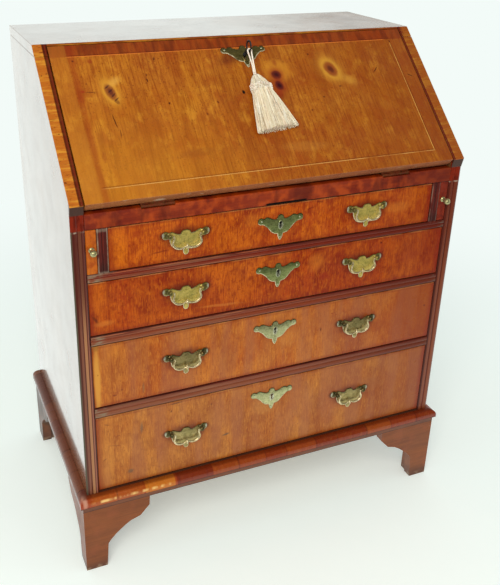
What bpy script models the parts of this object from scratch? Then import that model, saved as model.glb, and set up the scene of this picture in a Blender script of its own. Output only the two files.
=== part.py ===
"""A walnut writing bureau with a sloping fall, four long drawers and pull-out lopers.

Metres, +Z up. The origin is on the floor under the middle of the base. The front looks along -Y.
"""
import math

import bmesh
import bpy
from mathutils import Matrix, Vector

# The whole case
CASE_WIDTH = 0.780
CASE_DEPTH = 0.469
TOP_DEPTH = 0.240
DESK_HEIGHT = 0.236
SIDE_THICKNESS = 0.024
TOP_THICKNESS = 0.018
BACK_THICKNESS = 0.010
BOTTOM_THICKNESS = 0.0195
WRITING_THICKNESS = 0.028

# Clearances between pieces
SEAT = 0.0003
FRONT_GAP = 0.0015
SLIDE_GAP = 0.0005
RUN_GAP = 0.0008
OVERRUN = 0.004

# Base frame and bracket feet
FOOT_HEIGHT = 0.146
BASE_FRAME_THICKNESS = 0.012
BASE_FRAME_INSIDE = 0.055
BASE_PROJECTION = 0.017
BASE_STEP = 0.005
BASE_NOSE_HEIGHT = 0.007
BASE_OVOLO_HEIGHT = 0.011
BASE_OVOLO_FLAT = 0.003
FOOT_LENGTH = 0.133
FOOT_BOTTOM_WIDTH = 0.042
FOOT_THICKNESS = 0.020
FOOT_BLOCK = 0.038
# The bracket's inner edge: how far in towards its end, and how high up the foot
FOOT_CURVE_SHARES = (
    (0.00, 0.00), (0.044, 0.375), (0.088, 0.418), (0.23, 0.514), (0.43, 0.616),
    (0.57, 0.671), (0.78, 0.712), (0.858, 0.767), (0.989, 0.856), (1.00, 1.00),
)

# Drawers and the rails between them, from the bottom up
DRAWER_HEIGHTS = (0.1645, 0.1285, 0.1015, 0.0795)
RAIL_THICKNESSES = (0.0215, 0.0195, 0.0155)
RAIL_DEPTH = 0.060
DUST_BOARD_THICKNESS = 0.008
BEAD_DEPTH = 0.0018
BEAD_STEPS = 5
DRAWER_FRONT_THICKNESS = 0.022
DRAWER_WALL = 0.008
DRAWER_BOTTOM = 0.006
DRAWER_SIDE_DROP = 0.008
DRAWER_BACK_ROOM = 0.012
EDGE_ROUND = 0.0009

# Lopers, the slides that carry the open fall
LOPER_WIDTH = 0.0185
LOPER_BACK_ROOM = 0.0472
LOPER_TRAVEL = 0.250
DIVIDER_THICKNESS = 0.019
KNOB_RISE = 0.004
KNOB_RADIUS = 0.0063
KNOB_LENGTH = 0.020
KNOB_NECK_RADIUS = 0.0026
KNOB_BASE_RADIUS = 0.0050

# The fall and its hinges
FALL_THICKNESS = 0.020
FALL_SIDE_GAP = 0.0020
HINGE_INSET = 0.0045
TOP_EDGE_STRIP = 0.004
HINGE_FROM_END = 0.126
HINGE_LENGTH = 0.060
HINGE_KNUCKLE = 0.024
HINGE_LEAF_WIDTH = 0.022
HINGE_LEAF_THICKNESS = 0.0016
BARREL_RADIUS = 0.0028
PIN_RADIUS = 0.0012

# The fall's lock, bolt and key
LOCK_WIDTH = 0.066
LOCK_HEIGHT = 0.062
LOCK_THICKNESS = 0.010
LOCK_SKIN = 0.0022
BOLT_WIDTH = 0.026
BOLT_LENGTH = 0.031
BOLT_THICKNESS = 0.005
BOLT_TRAVEL = 0.007
KEYHOLE_DROP = 0.045
KEYHOLE_RADIUS = 0.0032
KEYHOLE_SLOT = 0.0032
BIT_REACH = 0.0090
BIT_THICKNESS = 0.0020
BIT_LENGTH = 0.0042
KEY_RADIUS = 0.0024
KEY_STAND = 0.030
BOW_OUTER = 0.0115
BOW_INNER = 0.0073
BOW_THICKNESS = 0.0026

# The tassel on the key
CORD_RADIUS = 0.0015
CORD_LOOP = 0.0040
CORD_PAIR = 0.0019
CORD_SEAT = 0.0006
TASSEL_HEAD_DROP = 0.0525
TASSEL_SHIFT = 0.0035
TASSEL_LENGTH = 0.118
TASSEL_LEAN = math.radians(5.5)
TASSEL_SIDES = 14
TASSEL_WIDTH = 0.0425
TASSEL_DEPTH = 0.0112
# The tassel from its top down: how far along, its half width and its half depth
TASSEL_SHARES = (
    (0.00, 0.14, 0.40), (0.03, 0.23, 0.70), (0.11, 0.36, 0.92), (0.21, 0.49, 1.00),
    (0.27, 0.52, 0.97), (0.31, 0.49, 0.90), (0.50, 0.66, 0.88), (0.75, 0.84, 0.80), (1.00, 1.00, 0.68),
)

# Drawer handles and escutcheons, all set a little to the left
FITTING_SHIFT = -0.0045
HANDLE_FROM_SIDE = 0.206
HANDLE_RISE = 0.0105
HANDLE_PLATE_WIDTH = 0.088
HANDLE_PLATE_HEIGHT = 0.0475
ESCUTCHEON_WIDTH = 0.092
ESCUTCHEON_HEIGHT = 0.0515
ESCUTCHEON_DROP = 0.028
KEYHOLE_BELOW_EARS = 0.0065
FALL_KEYHOLE_BELOW_EARS = 0.0142
FALL_PLATE_SHIFT = 0.0015
PLATE_THICKNESS = 0.0013
POST_SPREAD = 0.031
POST_RADIUS = 0.0046
POST_NECK_RADIUS = 0.0028
POST_LENGTH = 0.0112
BAIL_STAND = 0.0076
BAIL_DROP = 0.0240
BAIL_RADIUS = 0.0017
BAIL_PIN_RADIUS = 0.0013
BAIL_SOCKET_DEPTH = 0.0026
BAIL_KNOP_RADIUS = 0.0029
BAIL_KNOP_LENGTH = 0.0095
BAIL_SIDES = 8
BOSS_HALF_WIDTH = 0.0052
BOSS_HALF_HEIGHT = 0.0085
BOSS_THICKNESS = 0.0012

# Half of each batwing outline: across from the middle, and up from the line of the two ears
ESCUTCHEON_SHARES = (
    (0.00, 0.185), (0.075, 0.172), (0.128, 0.115), (0.163, 0.034), (0.280, 0.024), (0.413, 0.070),
    (0.554, 0.130), (0.652, 0.125), (0.735, 0.088), (0.804, 0.117), (0.891, 0.125), (0.967, 0.083),
    (1.000, 0.000), (0.974, -0.083), (0.891, -0.125), (0.804, -0.130), (0.730, -0.155),
    (0.641, -0.215), (0.543, -0.290), (0.424, -0.420), (0.304, -0.505), (0.185, -0.538),
    (0.128, -0.545), (0.110, -0.610), (0.085, -0.690), (0.047, -0.760), (0.00, -0.790),
)
HANDLE_PLATE_SHARES = (
    (0.00, 0.158), (0.114, 0.143), (0.193, 0.084), (0.239, 0.011), (0.364, 0.032), (0.500, 0.095),
    (0.614, 0.137), (0.690, 0.105), (0.773, 0.147), (0.886, 0.158), (0.977, 0.095),
    (1.000, 0.000), (0.966, -0.095), (0.864, -0.147), (0.770, -0.137), (0.700, -0.150),
    (0.670, -0.274), (0.614, -0.421), (0.477, -0.558), (0.318, -0.621), (0.182, -0.621),
    (0.128, -0.605), (0.122, -0.674), (0.109, -0.768), (0.064, -0.821), (0.00, -0.842),
)
# Half of the bail, from its pin to its middle: across to each side, and down
BAIL_SHARES = (
    (0.92, 0.00), (0.80, 0.00), (0.775, 0.06), (0.775, 0.22), (0.825, 0.40), (0.850, 0.56), (0.805, 0.75),
    (0.67, 0.91), (0.48, 1.00), (0.29, 1.00), (0.16, 0.94), (0.07, 0.88),
)

# The pigeonholes and the small drawer inside
NEST_WALL = 0.007
NEST_SETBACK = 0.0045
NEST_CENTRE = 0.190
NEST_DRAWER_HEIGHT = 0.062
PIGEONHOLES_A_SIDE = 3
INNER_DRAWER_FRONT = 0.009
INNER_DRAWER_WALL = 0.005
INNER_KNOB_RADIUS = 0.0055
INNER_KNOB_LENGTH = 0.012

# Faces of the case
FRONT_Y = (BASE_PROJECTION - CASE_DEPTH) / 2
BACK_Y = FRONT_Y + CASE_DEPTH
HALF_WIDTH = CASE_WIDTH / 2
INSIDE = HALF_WIDTH - SIDE_THICKNESS
BACK_FACE = BACK_Y - BACK_THICKNESS
CASE_BOTTOM = FOOT_HEIGHT + BASE_FRAME_THICKNESS
FIRST_FLOOR = CASE_BOTTOM + BOTTOM_THICKNESS
WRITING_UNDER = (
    FIRST_FLOOR + sum(DRAWER_HEIGHTS) + sum(RAIL_THICKNESSES) + 2 * len(DRAWER_HEIGHTS) * FRONT_GAP
)
WRITING_Z = WRITING_UNDER + WRITING_THICKNESS
CASE_TOP = WRITING_Z + DESK_HEIGHT
TOP_UNDER = CASE_TOP - TOP_THICKNESS
DRAWER_FACE = FRONT_Y + BEAD_DEPTH

# The slope: its frame has Y up the slope and Z out of it, with the hinge pin at the origin
HINGE_PIN = Vector((0, FRONT_Y + HINGE_INSET, WRITING_Z))
SLOPE_TOP = Vector((0, BACK_Y - TOP_DEPTH, CASE_TOP))
PIN_TO_TOP = SLOPE_TOP - HINGE_PIN
SLOPE = math.atan2(PIN_TO_TOP.z, PIN_TO_TOP.y) - math.asin(FALL_THICKNESS / PIN_TO_TOP.length)
SLOPE_LENGTH = math.sqrt(PIN_TO_TOP.length_squared - FALL_THICKNESS * FALL_THICKNESS)
DROOP = math.asin((WRITING_THICKNESS - FALL_THICKNESS) / (LOPER_TRAVEL + HINGE_INSET))
FALL_START = HINGE_INSET + SLIDE_GAP + FALL_THICKNESS * math.sin(DROOP)
FALL_END = SLOPE_LENGTH - TOP_EDGE_STRIP - RUN_GAP
FALL_HALF = INSIDE - FALL_SIDE_GAP
HINGE_X = FALL_HALF - HINGE_FROM_END
HANDLE_X = HALF_WIDTH - HANDLE_FROM_SIDE
KEYHOLE_UP = FALL_END - KEYHOLE_DROP
LOCK_START = FALL_END - LOCK_HEIGHT
BOW_CENTRE = FALL_THICKNESS + KEY_STAND

ORIGIN = (0, 0, 0)
SIDES = ("left", -1), ("right", 1)


def clear_scene():
    for old in list(bpy.data.objects):
        bpy.data.objects.remove(old, do_unlink=True)


def material(name, colour, roughness, metallic=0.0):
    look = bpy.data.materials.new(name)
    look.use_nodes = True
    shader = look.node_tree.nodes["Principled BSDF"]
    shader.inputs["Base Color"].default_value = (*colour, 1)
    shader.inputs["Roughness"].default_value = roughness
    shader.inputs["Metallic"].default_value = metallic
    look.diffuse_color = (*colour, 1)
    return look


def finish(name, mesh, look, frame, origin, smooth=False):
    """An object of this bmesh, with its origin moved to the point given in its frame."""
    bmesh.ops.translate(mesh, verts=mesh.verts, vec=-Vector(origin))
    bmesh.ops.recalc_face_normals(mesh, faces=mesh.faces)
    data = bpy.data.meshes.new(name)
    mesh.to_mesh(data)
    mesh.free()
    if smooth:
        data.shade_smooth()
        data.set_sharp_from_angle(angle=math.radians(40))
    if look:
        data.materials.append(look)
    made = bpy.data.objects.new(name, data)
    made.location = origin
    made.parent = frame
    bpy.context.scene.collection.objects.link(made)
    return made


def empty(name, location, turn=0.0):
    made = bpy.data.objects.new(name, None)
    made.location = location
    made.rotation_euler = (turn, 0, 0)
    bpy.context.scene.collection.objects.link(made)
    return made


def prism(name, outline, axis, low, high, look=None, frame=None, origin=ORIGIN):
    """A flat outline pushed along X, Y or Z. Its two coordinates are the other two axes, in order."""
    mesh = bmesh.new()
    ends = []
    for along in (low, high):
        ring = []
        for first, second in outline:
            point = [first, second]
            point.insert("XYZ".index(axis), along)
            ring.append(mesh.verts.new(point))
        ends.append(ring)
    mesh.faces.new(ends[0])
    mesh.faces.new(reversed(ends[1]))
    count = len(outline)
    for i in range(count):
        after = (i + 1) % count
        mesh.faces.new((ends[0][i], ends[1][i], ends[1][after], ends[0][after]))
    return finish(name, mesh, look, frame, origin)


def box(name, low, high, look=None, frame=None, origin=ORIGIN):
    outline = ((low[0], low[1]), (high[0], low[1]), (high[0], high[1]), (low[0], high[1]))
    return prism(name, outline, "Z", low[2], high[2], look, frame, origin)


def turned(name, profile, place, direction, look=None, frame=None, origin=ORIGIN, sides=16, hollow=False):
    """A turned piece. The profile is (radius, height) up its axis, or a closed loop where it is hollow."""
    mesh = bmesh.new()
    turn = Vector(direction).to_track_quat("Z", "Y").to_matrix()
    rings = []
    for radius, height in profile:
        steps = sides if radius else 1
        angles = [2 * math.pi * (i + 1 / 2) / steps for i in range(steps)]
        points = [Vector((radius * math.cos(a), radius * math.sin(a), height)) for a in angles]
        rings.append([mesh.verts.new(Vector(place) + turn @ point) for point in points])
    pairs = list(zip(rings, rings[1:]))
    if hollow:
        pairs.append((rings[-1], rings[0]))
    for lower, upper in pairs:
        for i in range(sides):
            after = (i + 1) % sides
            corners = [lower[i % len(lower)], lower[after % len(lower)]]
            corners += [upper[after % len(upper)], upper[i % len(upper)]]
            mesh.faces.new(list(dict.fromkeys(corners)))
    if not hollow:
        for ring in (rings[0], rings[-1]):
            if len(ring) > 2:
                mesh.faces.new(ring)
    return finish(name, mesh, look, frame, origin, smooth=True)


def rod(name, radius, place, direction, length, look=None, frame=None, origin=ORIGIN, sides=16):
    return turned(name, ((radius, 0), (radius, length)), place, direction, look, frame, origin, sides)


def change(body, tool, operation):
    """Cuts the tool from the body, or joins it to the body, and hides the tool."""
    step = body.modifiers.new(f"{operation} {tool.name}".lower(), "BOOLEAN")
    step.operation = operation
    step.object = tool
    tool.hide_render = True
    tool.display_type = "WIRE"
    return body


def cut(body, tool):
    return change(body, tool, "DIFFERENCE")


def join(body, tool):
    return change(body, tool, "UNION")


def soften(body, width=EDGE_ROUND):
    step = body.modifiers.new("eased edges", "BEVEL")
    step.width = width
    step.segments = 1
    step.limit_method = "ANGLE"
    return body


def curve_through(points, steps):
    """Points of a smooth curve through these ones, with this many steps between neighbours."""
    points = [Vector(point) for point in points]
    guides = [2 * points[0] - points[1], *points, 2 * points[-1] - points[-2]]
    made = []
    for before, start, end, after in zip(guides, guides[1:], guides[2:], guides[3:]):
        for i in range(steps):
            t = i / steps
            bend = (2 * before - 5 * start + 4 * end - after) * t * t
            twist = (3 * start - before - 3 * end + after) * t * t * t
            made.append((2 * start + (end - before) * t + bend + twist) / 2)
    return [*made, points[-1]]


def bead_pair(width):
    """The front of a rail or post: two beads side by side, as (across, in from the front)."""
    points = []
    count = 2 * BEAD_STEPS
    for i in range(count + 1):
        hump = abs(math.sin(math.pi * i / BEAD_STEPS))
        points.append((width * i / count, BEAD_DEPTH * (1 - math.sqrt(hump))))
    return points


def half_to_whole(half):
    """A closed outline from its right half, which starts and ends on the middle line."""
    return [*half, *[(-x, z) for x, z in reversed(half[1:-1])]]


def slope_point(up, out):
    """Y and Z of a point given up the slope from the hinge pin, and out of the fall's inner face."""
    return (
        HINGE_PIN.y + up * math.cos(SLOPE) - out * math.sin(SLOPE),
        HINGE_PIN.z + up * math.sin(SLOPE) + out * math.cos(SLOPE),
    )


def slope_at_height(z):
    """Y and Z where the outside of the slope passes this height."""
    return SLOPE_TOP.y - (SLOPE_TOP.z - z) / math.tan(SLOPE), z


def make_side(name, way, look):
    """A side board: upright front edge with two beads, small lip, slope, and square back."""
    under_top = TOP_UNDER - SEAT
    outline = [
        (FRONT_Y, CASE_BOTTOM), (FRONT_Y, WRITING_Z), slope_point(FALL_START, FALL_THICKNESS),
        slope_at_height(under_top), (BACK_Y, under_top), (BACK_Y, CASE_BOTTOM),
    ]
    low, high = sorted((way * INSIDE, way * HALF_WIDTH))
    board = soften(prism(name, outline, "X", low, high, look))
    beads = [(low + across, FRONT_Y + deep) for across, deep in bead_pair(SIDE_THICKNESS)]
    around = [
        (high + OVERRUN, FRONT_Y + BEAD_DEPTH), (high + OVERRUN, FRONT_Y - OVERRUN),
        (low - OVERRUN, FRONT_Y - OVERRUN), (low - OVERRUN, FRONT_Y + BEAD_DEPTH),
    ]
    tool = prism(f"{name}_beads", beads + around, "Z", CASE_BOTTOM - OVERRUN, WRITING_Z)
    return cut(board, tool)


def make_top(look):
    """The top board, its front edge on the slope and rebated behind the fall."""
    outline = [tuple(SLOPE_TOP.yz), (BACK_Y, CASE_TOP), (BACK_Y, TOP_UNDER), slope_at_height(TOP_UNDER)]
    board = soften(prism("top_board", outline, "X", -HALF_WIDTH, HALF_WIDTH, look))
    reach = TOP_THICKNESS + FALL_THICKNESS
    fall_edge = FALL_END + RUN_GAP
    cut(board, box(
        "top_rebate", (-INSIDE, FALL_END - reach, -reach), (INSIDE, fall_edge, reach), frame=slope_frame,
    ))
    half = BOLT_WIDTH / 2 + RUN_GAP
    return cut(board, box(
        "bolt_mortise",
        (-half, fall_edge - OVERRUN, LOCK_SKIN - RUN_GAP),
        (half, fall_edge + BOLT_TRAVEL + RUN_GAP, LOCK_SKIN + BOLT_THICKNESS + 2 * RUN_GAP),
        frame=slope_frame,
    ))


def make_back(look):
    low = (-INSIDE + SEAT, BACK_FACE, CASE_BOTTOM)
    return box("back_panel", low, (INSIDE - SEAT, BACK_Y, TOP_UNDER - SEAT), look)


def make_bottom(look):
    low = (-INSIDE + SEAT, FRONT_Y, CASE_BOTTOM)
    return box("bottom_board", low, (INSIDE - SEAT, BACK_FACE - SEAT, FIRST_FLOOR), look)


def make_writing_board(look):
    """The desk's floor, notched along its front for the hinges."""
    low = (-INSIDE + SEAT, FRONT_Y, WRITING_UNDER)
    board = soften(box("writing_board", low, (INSIDE - SEAT, BACK_FACE - SEAT, WRITING_Z), look))
    notch = BARREL_RADIUS + SEAT
    leaf = HINGE_LEAF_THICKNESS + SEAT
    outline = (
        (FRONT_Y - OVERRUN, WRITING_Z + OVERRUN), (FRONT_Y - OVERRUN, WRITING_Z - notch),
        (HINGE_PIN.y + notch, WRITING_Z - notch), (HINGE_PIN.y + notch, WRITING_Z - leaf),
        (HINGE_PIN.y + HINGE_LEAF_WIDTH + SEAT, WRITING_Z - leaf),
        (HINGE_PIN.y + HINGE_LEAF_WIDTH + SEAT, WRITING_Z + OVERRUN),
    )
    half = HINGE_LENGTH / 2 + SEAT
    for side, way in SIDES:
        middle = way * HINGE_X
        cut(board, prism(f"hinge_notch_{side}", outline, "X", middle - half, middle + half))
    return board


def make_rail(name, low, thickness, look):
    """A beaded front rail with the thin dust board behind it, level with its top."""
    high = low + thickness
    beads = [(FRONT_Y + deep, low + across) for across, deep in bead_pair(thickness)]
    behind = [
        (BACK_FACE - SEAT, high), (BACK_FACE - SEAT, high - DUST_BOARD_THICKNESS),
        (FRONT_Y + RAIL_DEPTH, high - DUST_BOARD_THICKNESS), (FRONT_Y + RAIL_DEPTH, low),
    ]
    return prism(name, beads + behind, "X", -INSIDE + SEAT, INSIDE - SEAT, look)


def divider_place(way):
    """The two faces of an upright between the top drawer and a loper, low X first."""
    outer = INSIDE - LOPER_WIDTH - 2 * SLIDE_GAP
    return sorted((way * outer, way * (outer - DIVIDER_THICKNESS)))


def make_divider(rail, side, way, floor):
    """Joins a beaded upright to the top drawer's rail, and it runs back between drawer and loper."""
    low, high = divider_place(way)
    beads = [(low + across, FRONT_Y + deep) for across, deep in bead_pair(DIVIDER_THICKNESS)]
    outline = beads + [(high, BACK_FACE - SEAT), (low, BACK_FACE - SEAT)]
    join(rail, prism(f"divider_{side}", outline, "Z", floor - OVERRUN, WRITING_UNDER - SEAT))


def make_base(look):
    """The mitred frame round the foot of the case: a flat frame below it and a moulding outside it."""
    nose = BASE_PROJECTION
    top = CASE_BOTTOM + BASE_NOSE_HEIGHT + BASE_OVOLO_HEIGHT
    profile = [
        (-BASE_FRAME_INSIDE, FOOT_HEIGHT), (nose - BASE_STEP, FOOT_HEIGHT),
        (nose - BASE_STEP, CASE_BOTTOM), (nose, CASE_BOTTOM),
    ]
    steps = 5
    for i in range(steps + 1):
        turn = math.pi / 2 * i / steps
        out = SEAT + BASE_OVOLO_FLAT + (nose - SEAT - BASE_OVOLO_FLAT) * math.cos(turn)
        profile.append((out, CASE_BOTTOM + BASE_NOSE_HEIGHT + BASE_OVOLO_HEIGHT * math.sin(turn)))
    profile += [(SEAT, top), (SEAT, CASE_BOTTOM - SEAT), (-BASE_FRAME_INSIDE, CASE_BOTTOM - SEAT)]
    mesh = bmesh.new()
    rings = []
    for way, back in ((-1, True), (-1, False), (1, False), (1, True)):
        points = []
        for out, z in profile:
            y = BACK_Y if back else FRONT_Y - out
            points.append(mesh.verts.new((way * (HALF_WIDTH + out), y, z)))
        rings.append(points)
    count = len(profile)
    for here, there in zip(rings, rings[1:]):
        for i in range(count):
            after = (i + 1) % count
            mesh.faces.new((here[i], here[after], there[after], there[i]))
    mesh.faces.new(rings[0])
    mesh.faces.new(reversed(rings[-1]))
    return finish("base_moulding", mesh, look, None, ORIGIN)


def bracket_outline(outer, way, length):
    """One face of a bracket foot: outer edge upright, inner edge cut to a stepped curve."""
    top = FOOT_HEIGHT - SEAT
    inner = [
        (outer + way * (FOOT_BOTTOM_WIDTH + (length - FOOT_BOTTOM_WIDTH) * across), top * up)
        for across, up in FOOT_CURVE_SHARES
    ]
    return [(outer, 0), *inner, (outer, top)]


def make_foot(name, way, at_front, look):
    """A corner foot of two brackets and the block glued between them."""
    out = BASE_PROJECTION - BASE_STEP
    outer_x = way * (HALF_WIDTH + out)
    inner_x = outer_x - way * FOOT_THICKNESS
    outer_y = FRONT_Y - out if at_front else BACK_Y
    inward = 1 if at_front else -1
    side = bracket_outline(outer_y, inward, FOOT_LENGTH)
    foot = prism(name, side, "X", *sorted((outer_x, inner_x)), look)
    inner_y = outer_y + inward * FOOT_THICKNESS
    across = bracket_outline(outer_x, -way, FOOT_LENGTH)
    join(foot, prism(f"{name}_across", across, "Y", *sorted((outer_y, inner_y))))
    corner = (outer_x - way * SEAT, outer_y + inward * SEAT)
    far = (corner[0] - way * FOOT_BLOCK, corner[1] + inward * FOOT_BLOCK)
    (low_x, high_x), (low_y, high_y) = [sorted(pair) for pair in zip(corner, far)]
    return join(foot, box(f"{name}_block", (low_x, low_y, 0), (high_x, high_y, FOOT_HEIGHT - SEAT)))


def make_drawer(number, floor, half, height, look_front, look_box):
    """A drawer front and the open tray behind it, which runs on the rail below."""
    front_low = floor + FRONT_GAP
    top = front_low + height
    behind = DRAWER_FACE + DRAWER_FRONT_THICKNESS
    front = soften(box(
        f"drawer_{number}_front", (-half, DRAWER_FACE, front_low), (half, behind, top), look_front,
    ))
    low = (-half, behind + SEAT, floor + SEAT)
    high = (half, BACK_FACE - DRAWER_BACK_ROOM, top - DRAWER_SIDE_DROP)
    tray = box(f"drawer_{number}_box", low, high, look_box)
    inside = (-half + DRAWER_WALL, behind - OVERRUN, floor + SEAT + DRAWER_BOTTOM)
    cut(tray, box(
        f"drawer_{number}_inside", inside, (half - DRAWER_WALL, high[1] - DRAWER_WALL, top),
    ))
    return front, tray


def batwing(shares, width, height):
    return half_to_whole([(width / 2 * x, height * z) for x, z in shares])


def oval(half_width, half_height, steps=14):
    angles = [2 * math.pi * i / steps for i in range(steps)]
    return [(half_width * math.cos(a), half_height * math.sin(a)) for a in angles]


def shifted(outline, x, z):
    return [(x + across, z + up) for across, up in outline]


def keyhole_outline():
    """A round top over a straight slot, centred on the key's axis."""
    half = KEYHOLE_SLOT / 2
    low = BIT_REACH + SEAT
    start = math.asin(half / KEYHOLE_RADIUS) - math.pi / 2
    steps = 9
    sweep = 2 * (math.pi / 2 - start) / steps
    arc = [start + sweep * i for i in range(steps + 1)]
    round_top = [(KEYHOLE_RADIUS * math.cos(a), KEYHOLE_RADIUS * math.sin(a)) for a in arc]
    return [*round_top, (-half, -low), (half, -low)]


def make_drawer_escutcheon(number, top, look):
    """A batwing plate with an oval boss round its keyhole."""
    x, z = FITTING_SHIFT, top - ESCUTCHEON_DROP
    back = DRAWER_FACE - SEAT
    front = back - PLATE_THICKNESS
    name = f"drawer_{number}_escutcheon"
    outline = shifted(batwing(ESCUTCHEON_SHARES, ESCUTCHEON_WIDTH, ESCUTCHEON_HEIGHT), x, z)
    plate = prism(name, outline, "Y", front, back, look)
    axis = z - KEYHOLE_BELOW_EARS
    boss = shifted(oval(BOSS_HALF_WIDTH, BOSS_HALF_HEIGHT), x, axis - BOSS_HALF_HEIGHT / 2)
    join(plate, prism(f"{name}_boss", boss, "Y", front - BOSS_THICKNESS, back - PLATE_THICKNESS / 2))
    hole = shifted(keyhole_outline(), x, axis)
    return cut(plate, prism(f"{name}_keyhole", hole, "Y", front - OVERRUN, back + OVERRUN))


def make_handle_plate(name, x, z, look):
    """A batwing back plate with the two posts that hold the bail."""
    back = DRAWER_FACE - SEAT
    front = back - PLATE_THICKNESS
    outline = shifted(batwing(HANDLE_PLATE_SHARES, HANDLE_PLATE_WIDTH, HANDLE_PLATE_HEIGHT), x, z)
    plate = prism(name, outline, "Y", front, back, look)
    profile = (
        (POST_RADIUS, PLATE_THICKNESS / 2), (POST_RADIUS, PLATE_THICKNESS * 2),
        (POST_NECK_RADIUS, PLATE_THICKNESS * 3), (POST_RADIUS, BAIL_STAND - POST_NECK_RADIUS / 2),
        (POST_RADIUS, BAIL_STAND + POST_NECK_RADIUS / 2), (POST_NECK_RADIUS, POST_LENGTH), (0, POST_LENGTH),
    )
    for side, way in SIDES:
        post_x = x + way * POST_SPREAD
        join(plate, turned(f"{name}_post_{side}", profile, (post_x, back, z), (0, -1, 0), sides=12))
        start = (post_x - way * (POST_RADIUS - BAIL_SOCKET_DEPTH), back - BAIL_STAND, z)
        socket = BAIL_PIN_RADIUS + SEAT
        cut(plate, rod(f"{name}_socket_{side}", socket, start, (-way, 0, 0), POST_RADIUS, sides=BAIL_SIDES))
    return plate


def make_bail(name, x, z, look):
    """The drop handle: a tube bent into two lobes with a small turned knop in its middle."""
    y = DRAWER_FACE - SEAT - BAIL_STAND
    pin_end = POST_SPREAD - POST_RADIUS + BAIL_SOCKET_DEPTH - SEAT
    scale = pin_end / BAIL_SHARES[0][0]
    half = [(scale * across, -BAIL_DROP * down) for across, down in BAIL_SHARES]
    right = [Vector((across, 0, up)) for across, up in half]
    path = [*right, *[Vector((-point.x, 0, point.z)) for point in reversed(right)]]
    count = len(path)
    mesh = bmesh.new()
    rings = []
    for i, point in enumerate(path):
        along = (path[min(i + 1, count - 1)] - path[max(i - 1, 0)]).normalized()
        across = Vector((0, 1, 0)).cross(along)
        radius = BAIL_PIN_RADIUS if i in (0, 1, count - 2, count - 1) else BAIL_RADIUS
        ring = []
        for k in range(BAIL_SIDES):
            angle = 2 * math.pi * (k + 1 / 2) / BAIL_SIDES
            offset = across * math.cos(angle) + Vector((0, 1, 0)) * math.sin(angle)
            ring.append(mesh.verts.new(point + offset * radius))
        rings.append(ring)
    for here, there in zip(rings, rings[1:]):
        for k in range(BAIL_SIDES):
            after = (k + 1) % BAIL_SIDES
            mesh.faces.new((here[k], here[after], there[after], there[k]))
    mesh.faces.new(rings[0])
    mesh.faces.new(reversed(rings[-1]))
    bmesh.ops.translate(mesh, verts=mesh.verts, vec=(x, y, z))
    bail = finish(name, mesh, look, None, (x, y, z), smooth=True)
    neck = BAIL_RADIUS / 2
    knop = (
        (neck, 0), (BAIL_KNOP_RADIUS, BAIL_KNOP_LENGTH / 4), (BAIL_KNOP_RADIUS, BAIL_KNOP_LENGTH / 2),
        (BAIL_RADIUS, BAIL_KNOP_LENGTH * 3 / 4), (neck, BAIL_KNOP_LENGTH),
    )
    foot = (x, y, z + half[-1][1] - BAIL_KNOP_LENGTH / 2)
    return join(bail, turned(f"{name}_knop", knop, foot, (0, 0, 1), sides=10))


def make_loper(side, way, floor, look, look_knob):
    """A slide with its small turned pull."""
    inner, outer = sorted((way * (INSIDE - SLIDE_GAP), way * (INSIDE - SLIDE_GAP - LOPER_WIDTH)))
    low = floor + SEAT
    high = WRITING_UNDER - SLIDE_GAP
    face = DRAWER_FACE
    end = BACK_FACE - LOPER_BACK_ROOM
    loper = soften(box(f"loper_{side}", (inner, face, low), (outer, end, high), look))
    ball = KNOB_LENGTH - KNOB_RADIUS
    profile = (
        (KNOB_BASE_RADIUS, SEAT), (KNOB_BASE_RADIUS, KNOB_LENGTH / 8), (KNOB_NECK_RADIUS, KNOB_LENGTH / 4),
        (KNOB_NECK_RADIUS, ball - KNOB_RADIUS * 0.9), (KNOB_RADIUS * 0.8, ball - KNOB_RADIUS * 0.6),
        (KNOB_RADIUS, ball), (KNOB_RADIUS * 0.8, ball + KNOB_RADIUS * 0.6), (0, KNOB_LENGTH),
    )
    place = ((inner + outer) / 2, face, (low + high) / 2 + KNOB_RISE)
    turned(f"loper_knob_{side}", profile, place, (0, -1, 0), look_knob)
    return loper


def make_fall(look):
    """The sloping writing flap, recessed inside for its hinges and its lock."""
    fall = soften(box(
        "fall_panel", (-FALL_HALF, FALL_START, 0), (FALL_HALF, FALL_END, FALL_THICKNESS), look, slope_frame,
    ))
    half = HINGE_LENGTH / 2 + SEAT
    for side, way in SIDES:
        middle = way * HINGE_X
        cut(fall, box(
            f"fall_hinge_recess_{side}",
            (middle - half, FALL_START - OVERRUN, -OVERRUN),
            (middle + half, HINGE_LEAF_WIDTH + SEAT, HINGE_LEAF_THICKNESS + SEAT),
            frame=slope_frame,
        ))
    wide = LOCK_WIDTH / 2 + SEAT
    cut(fall, box(
        "lock_recess", (-wide, LOCK_START - SEAT, -OVERRUN), (wide, FALL_END + OVERRUN, LOCK_THICKNESS + SEAT),
        frame=slope_frame,
    ))
    return fall


def knuckle(leaf, name, start, length, frame):
    join(leaf, rod(name, BARREL_RADIUS, (start, 0, 0), (1, 0, 0), length, frame=frame))


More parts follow.
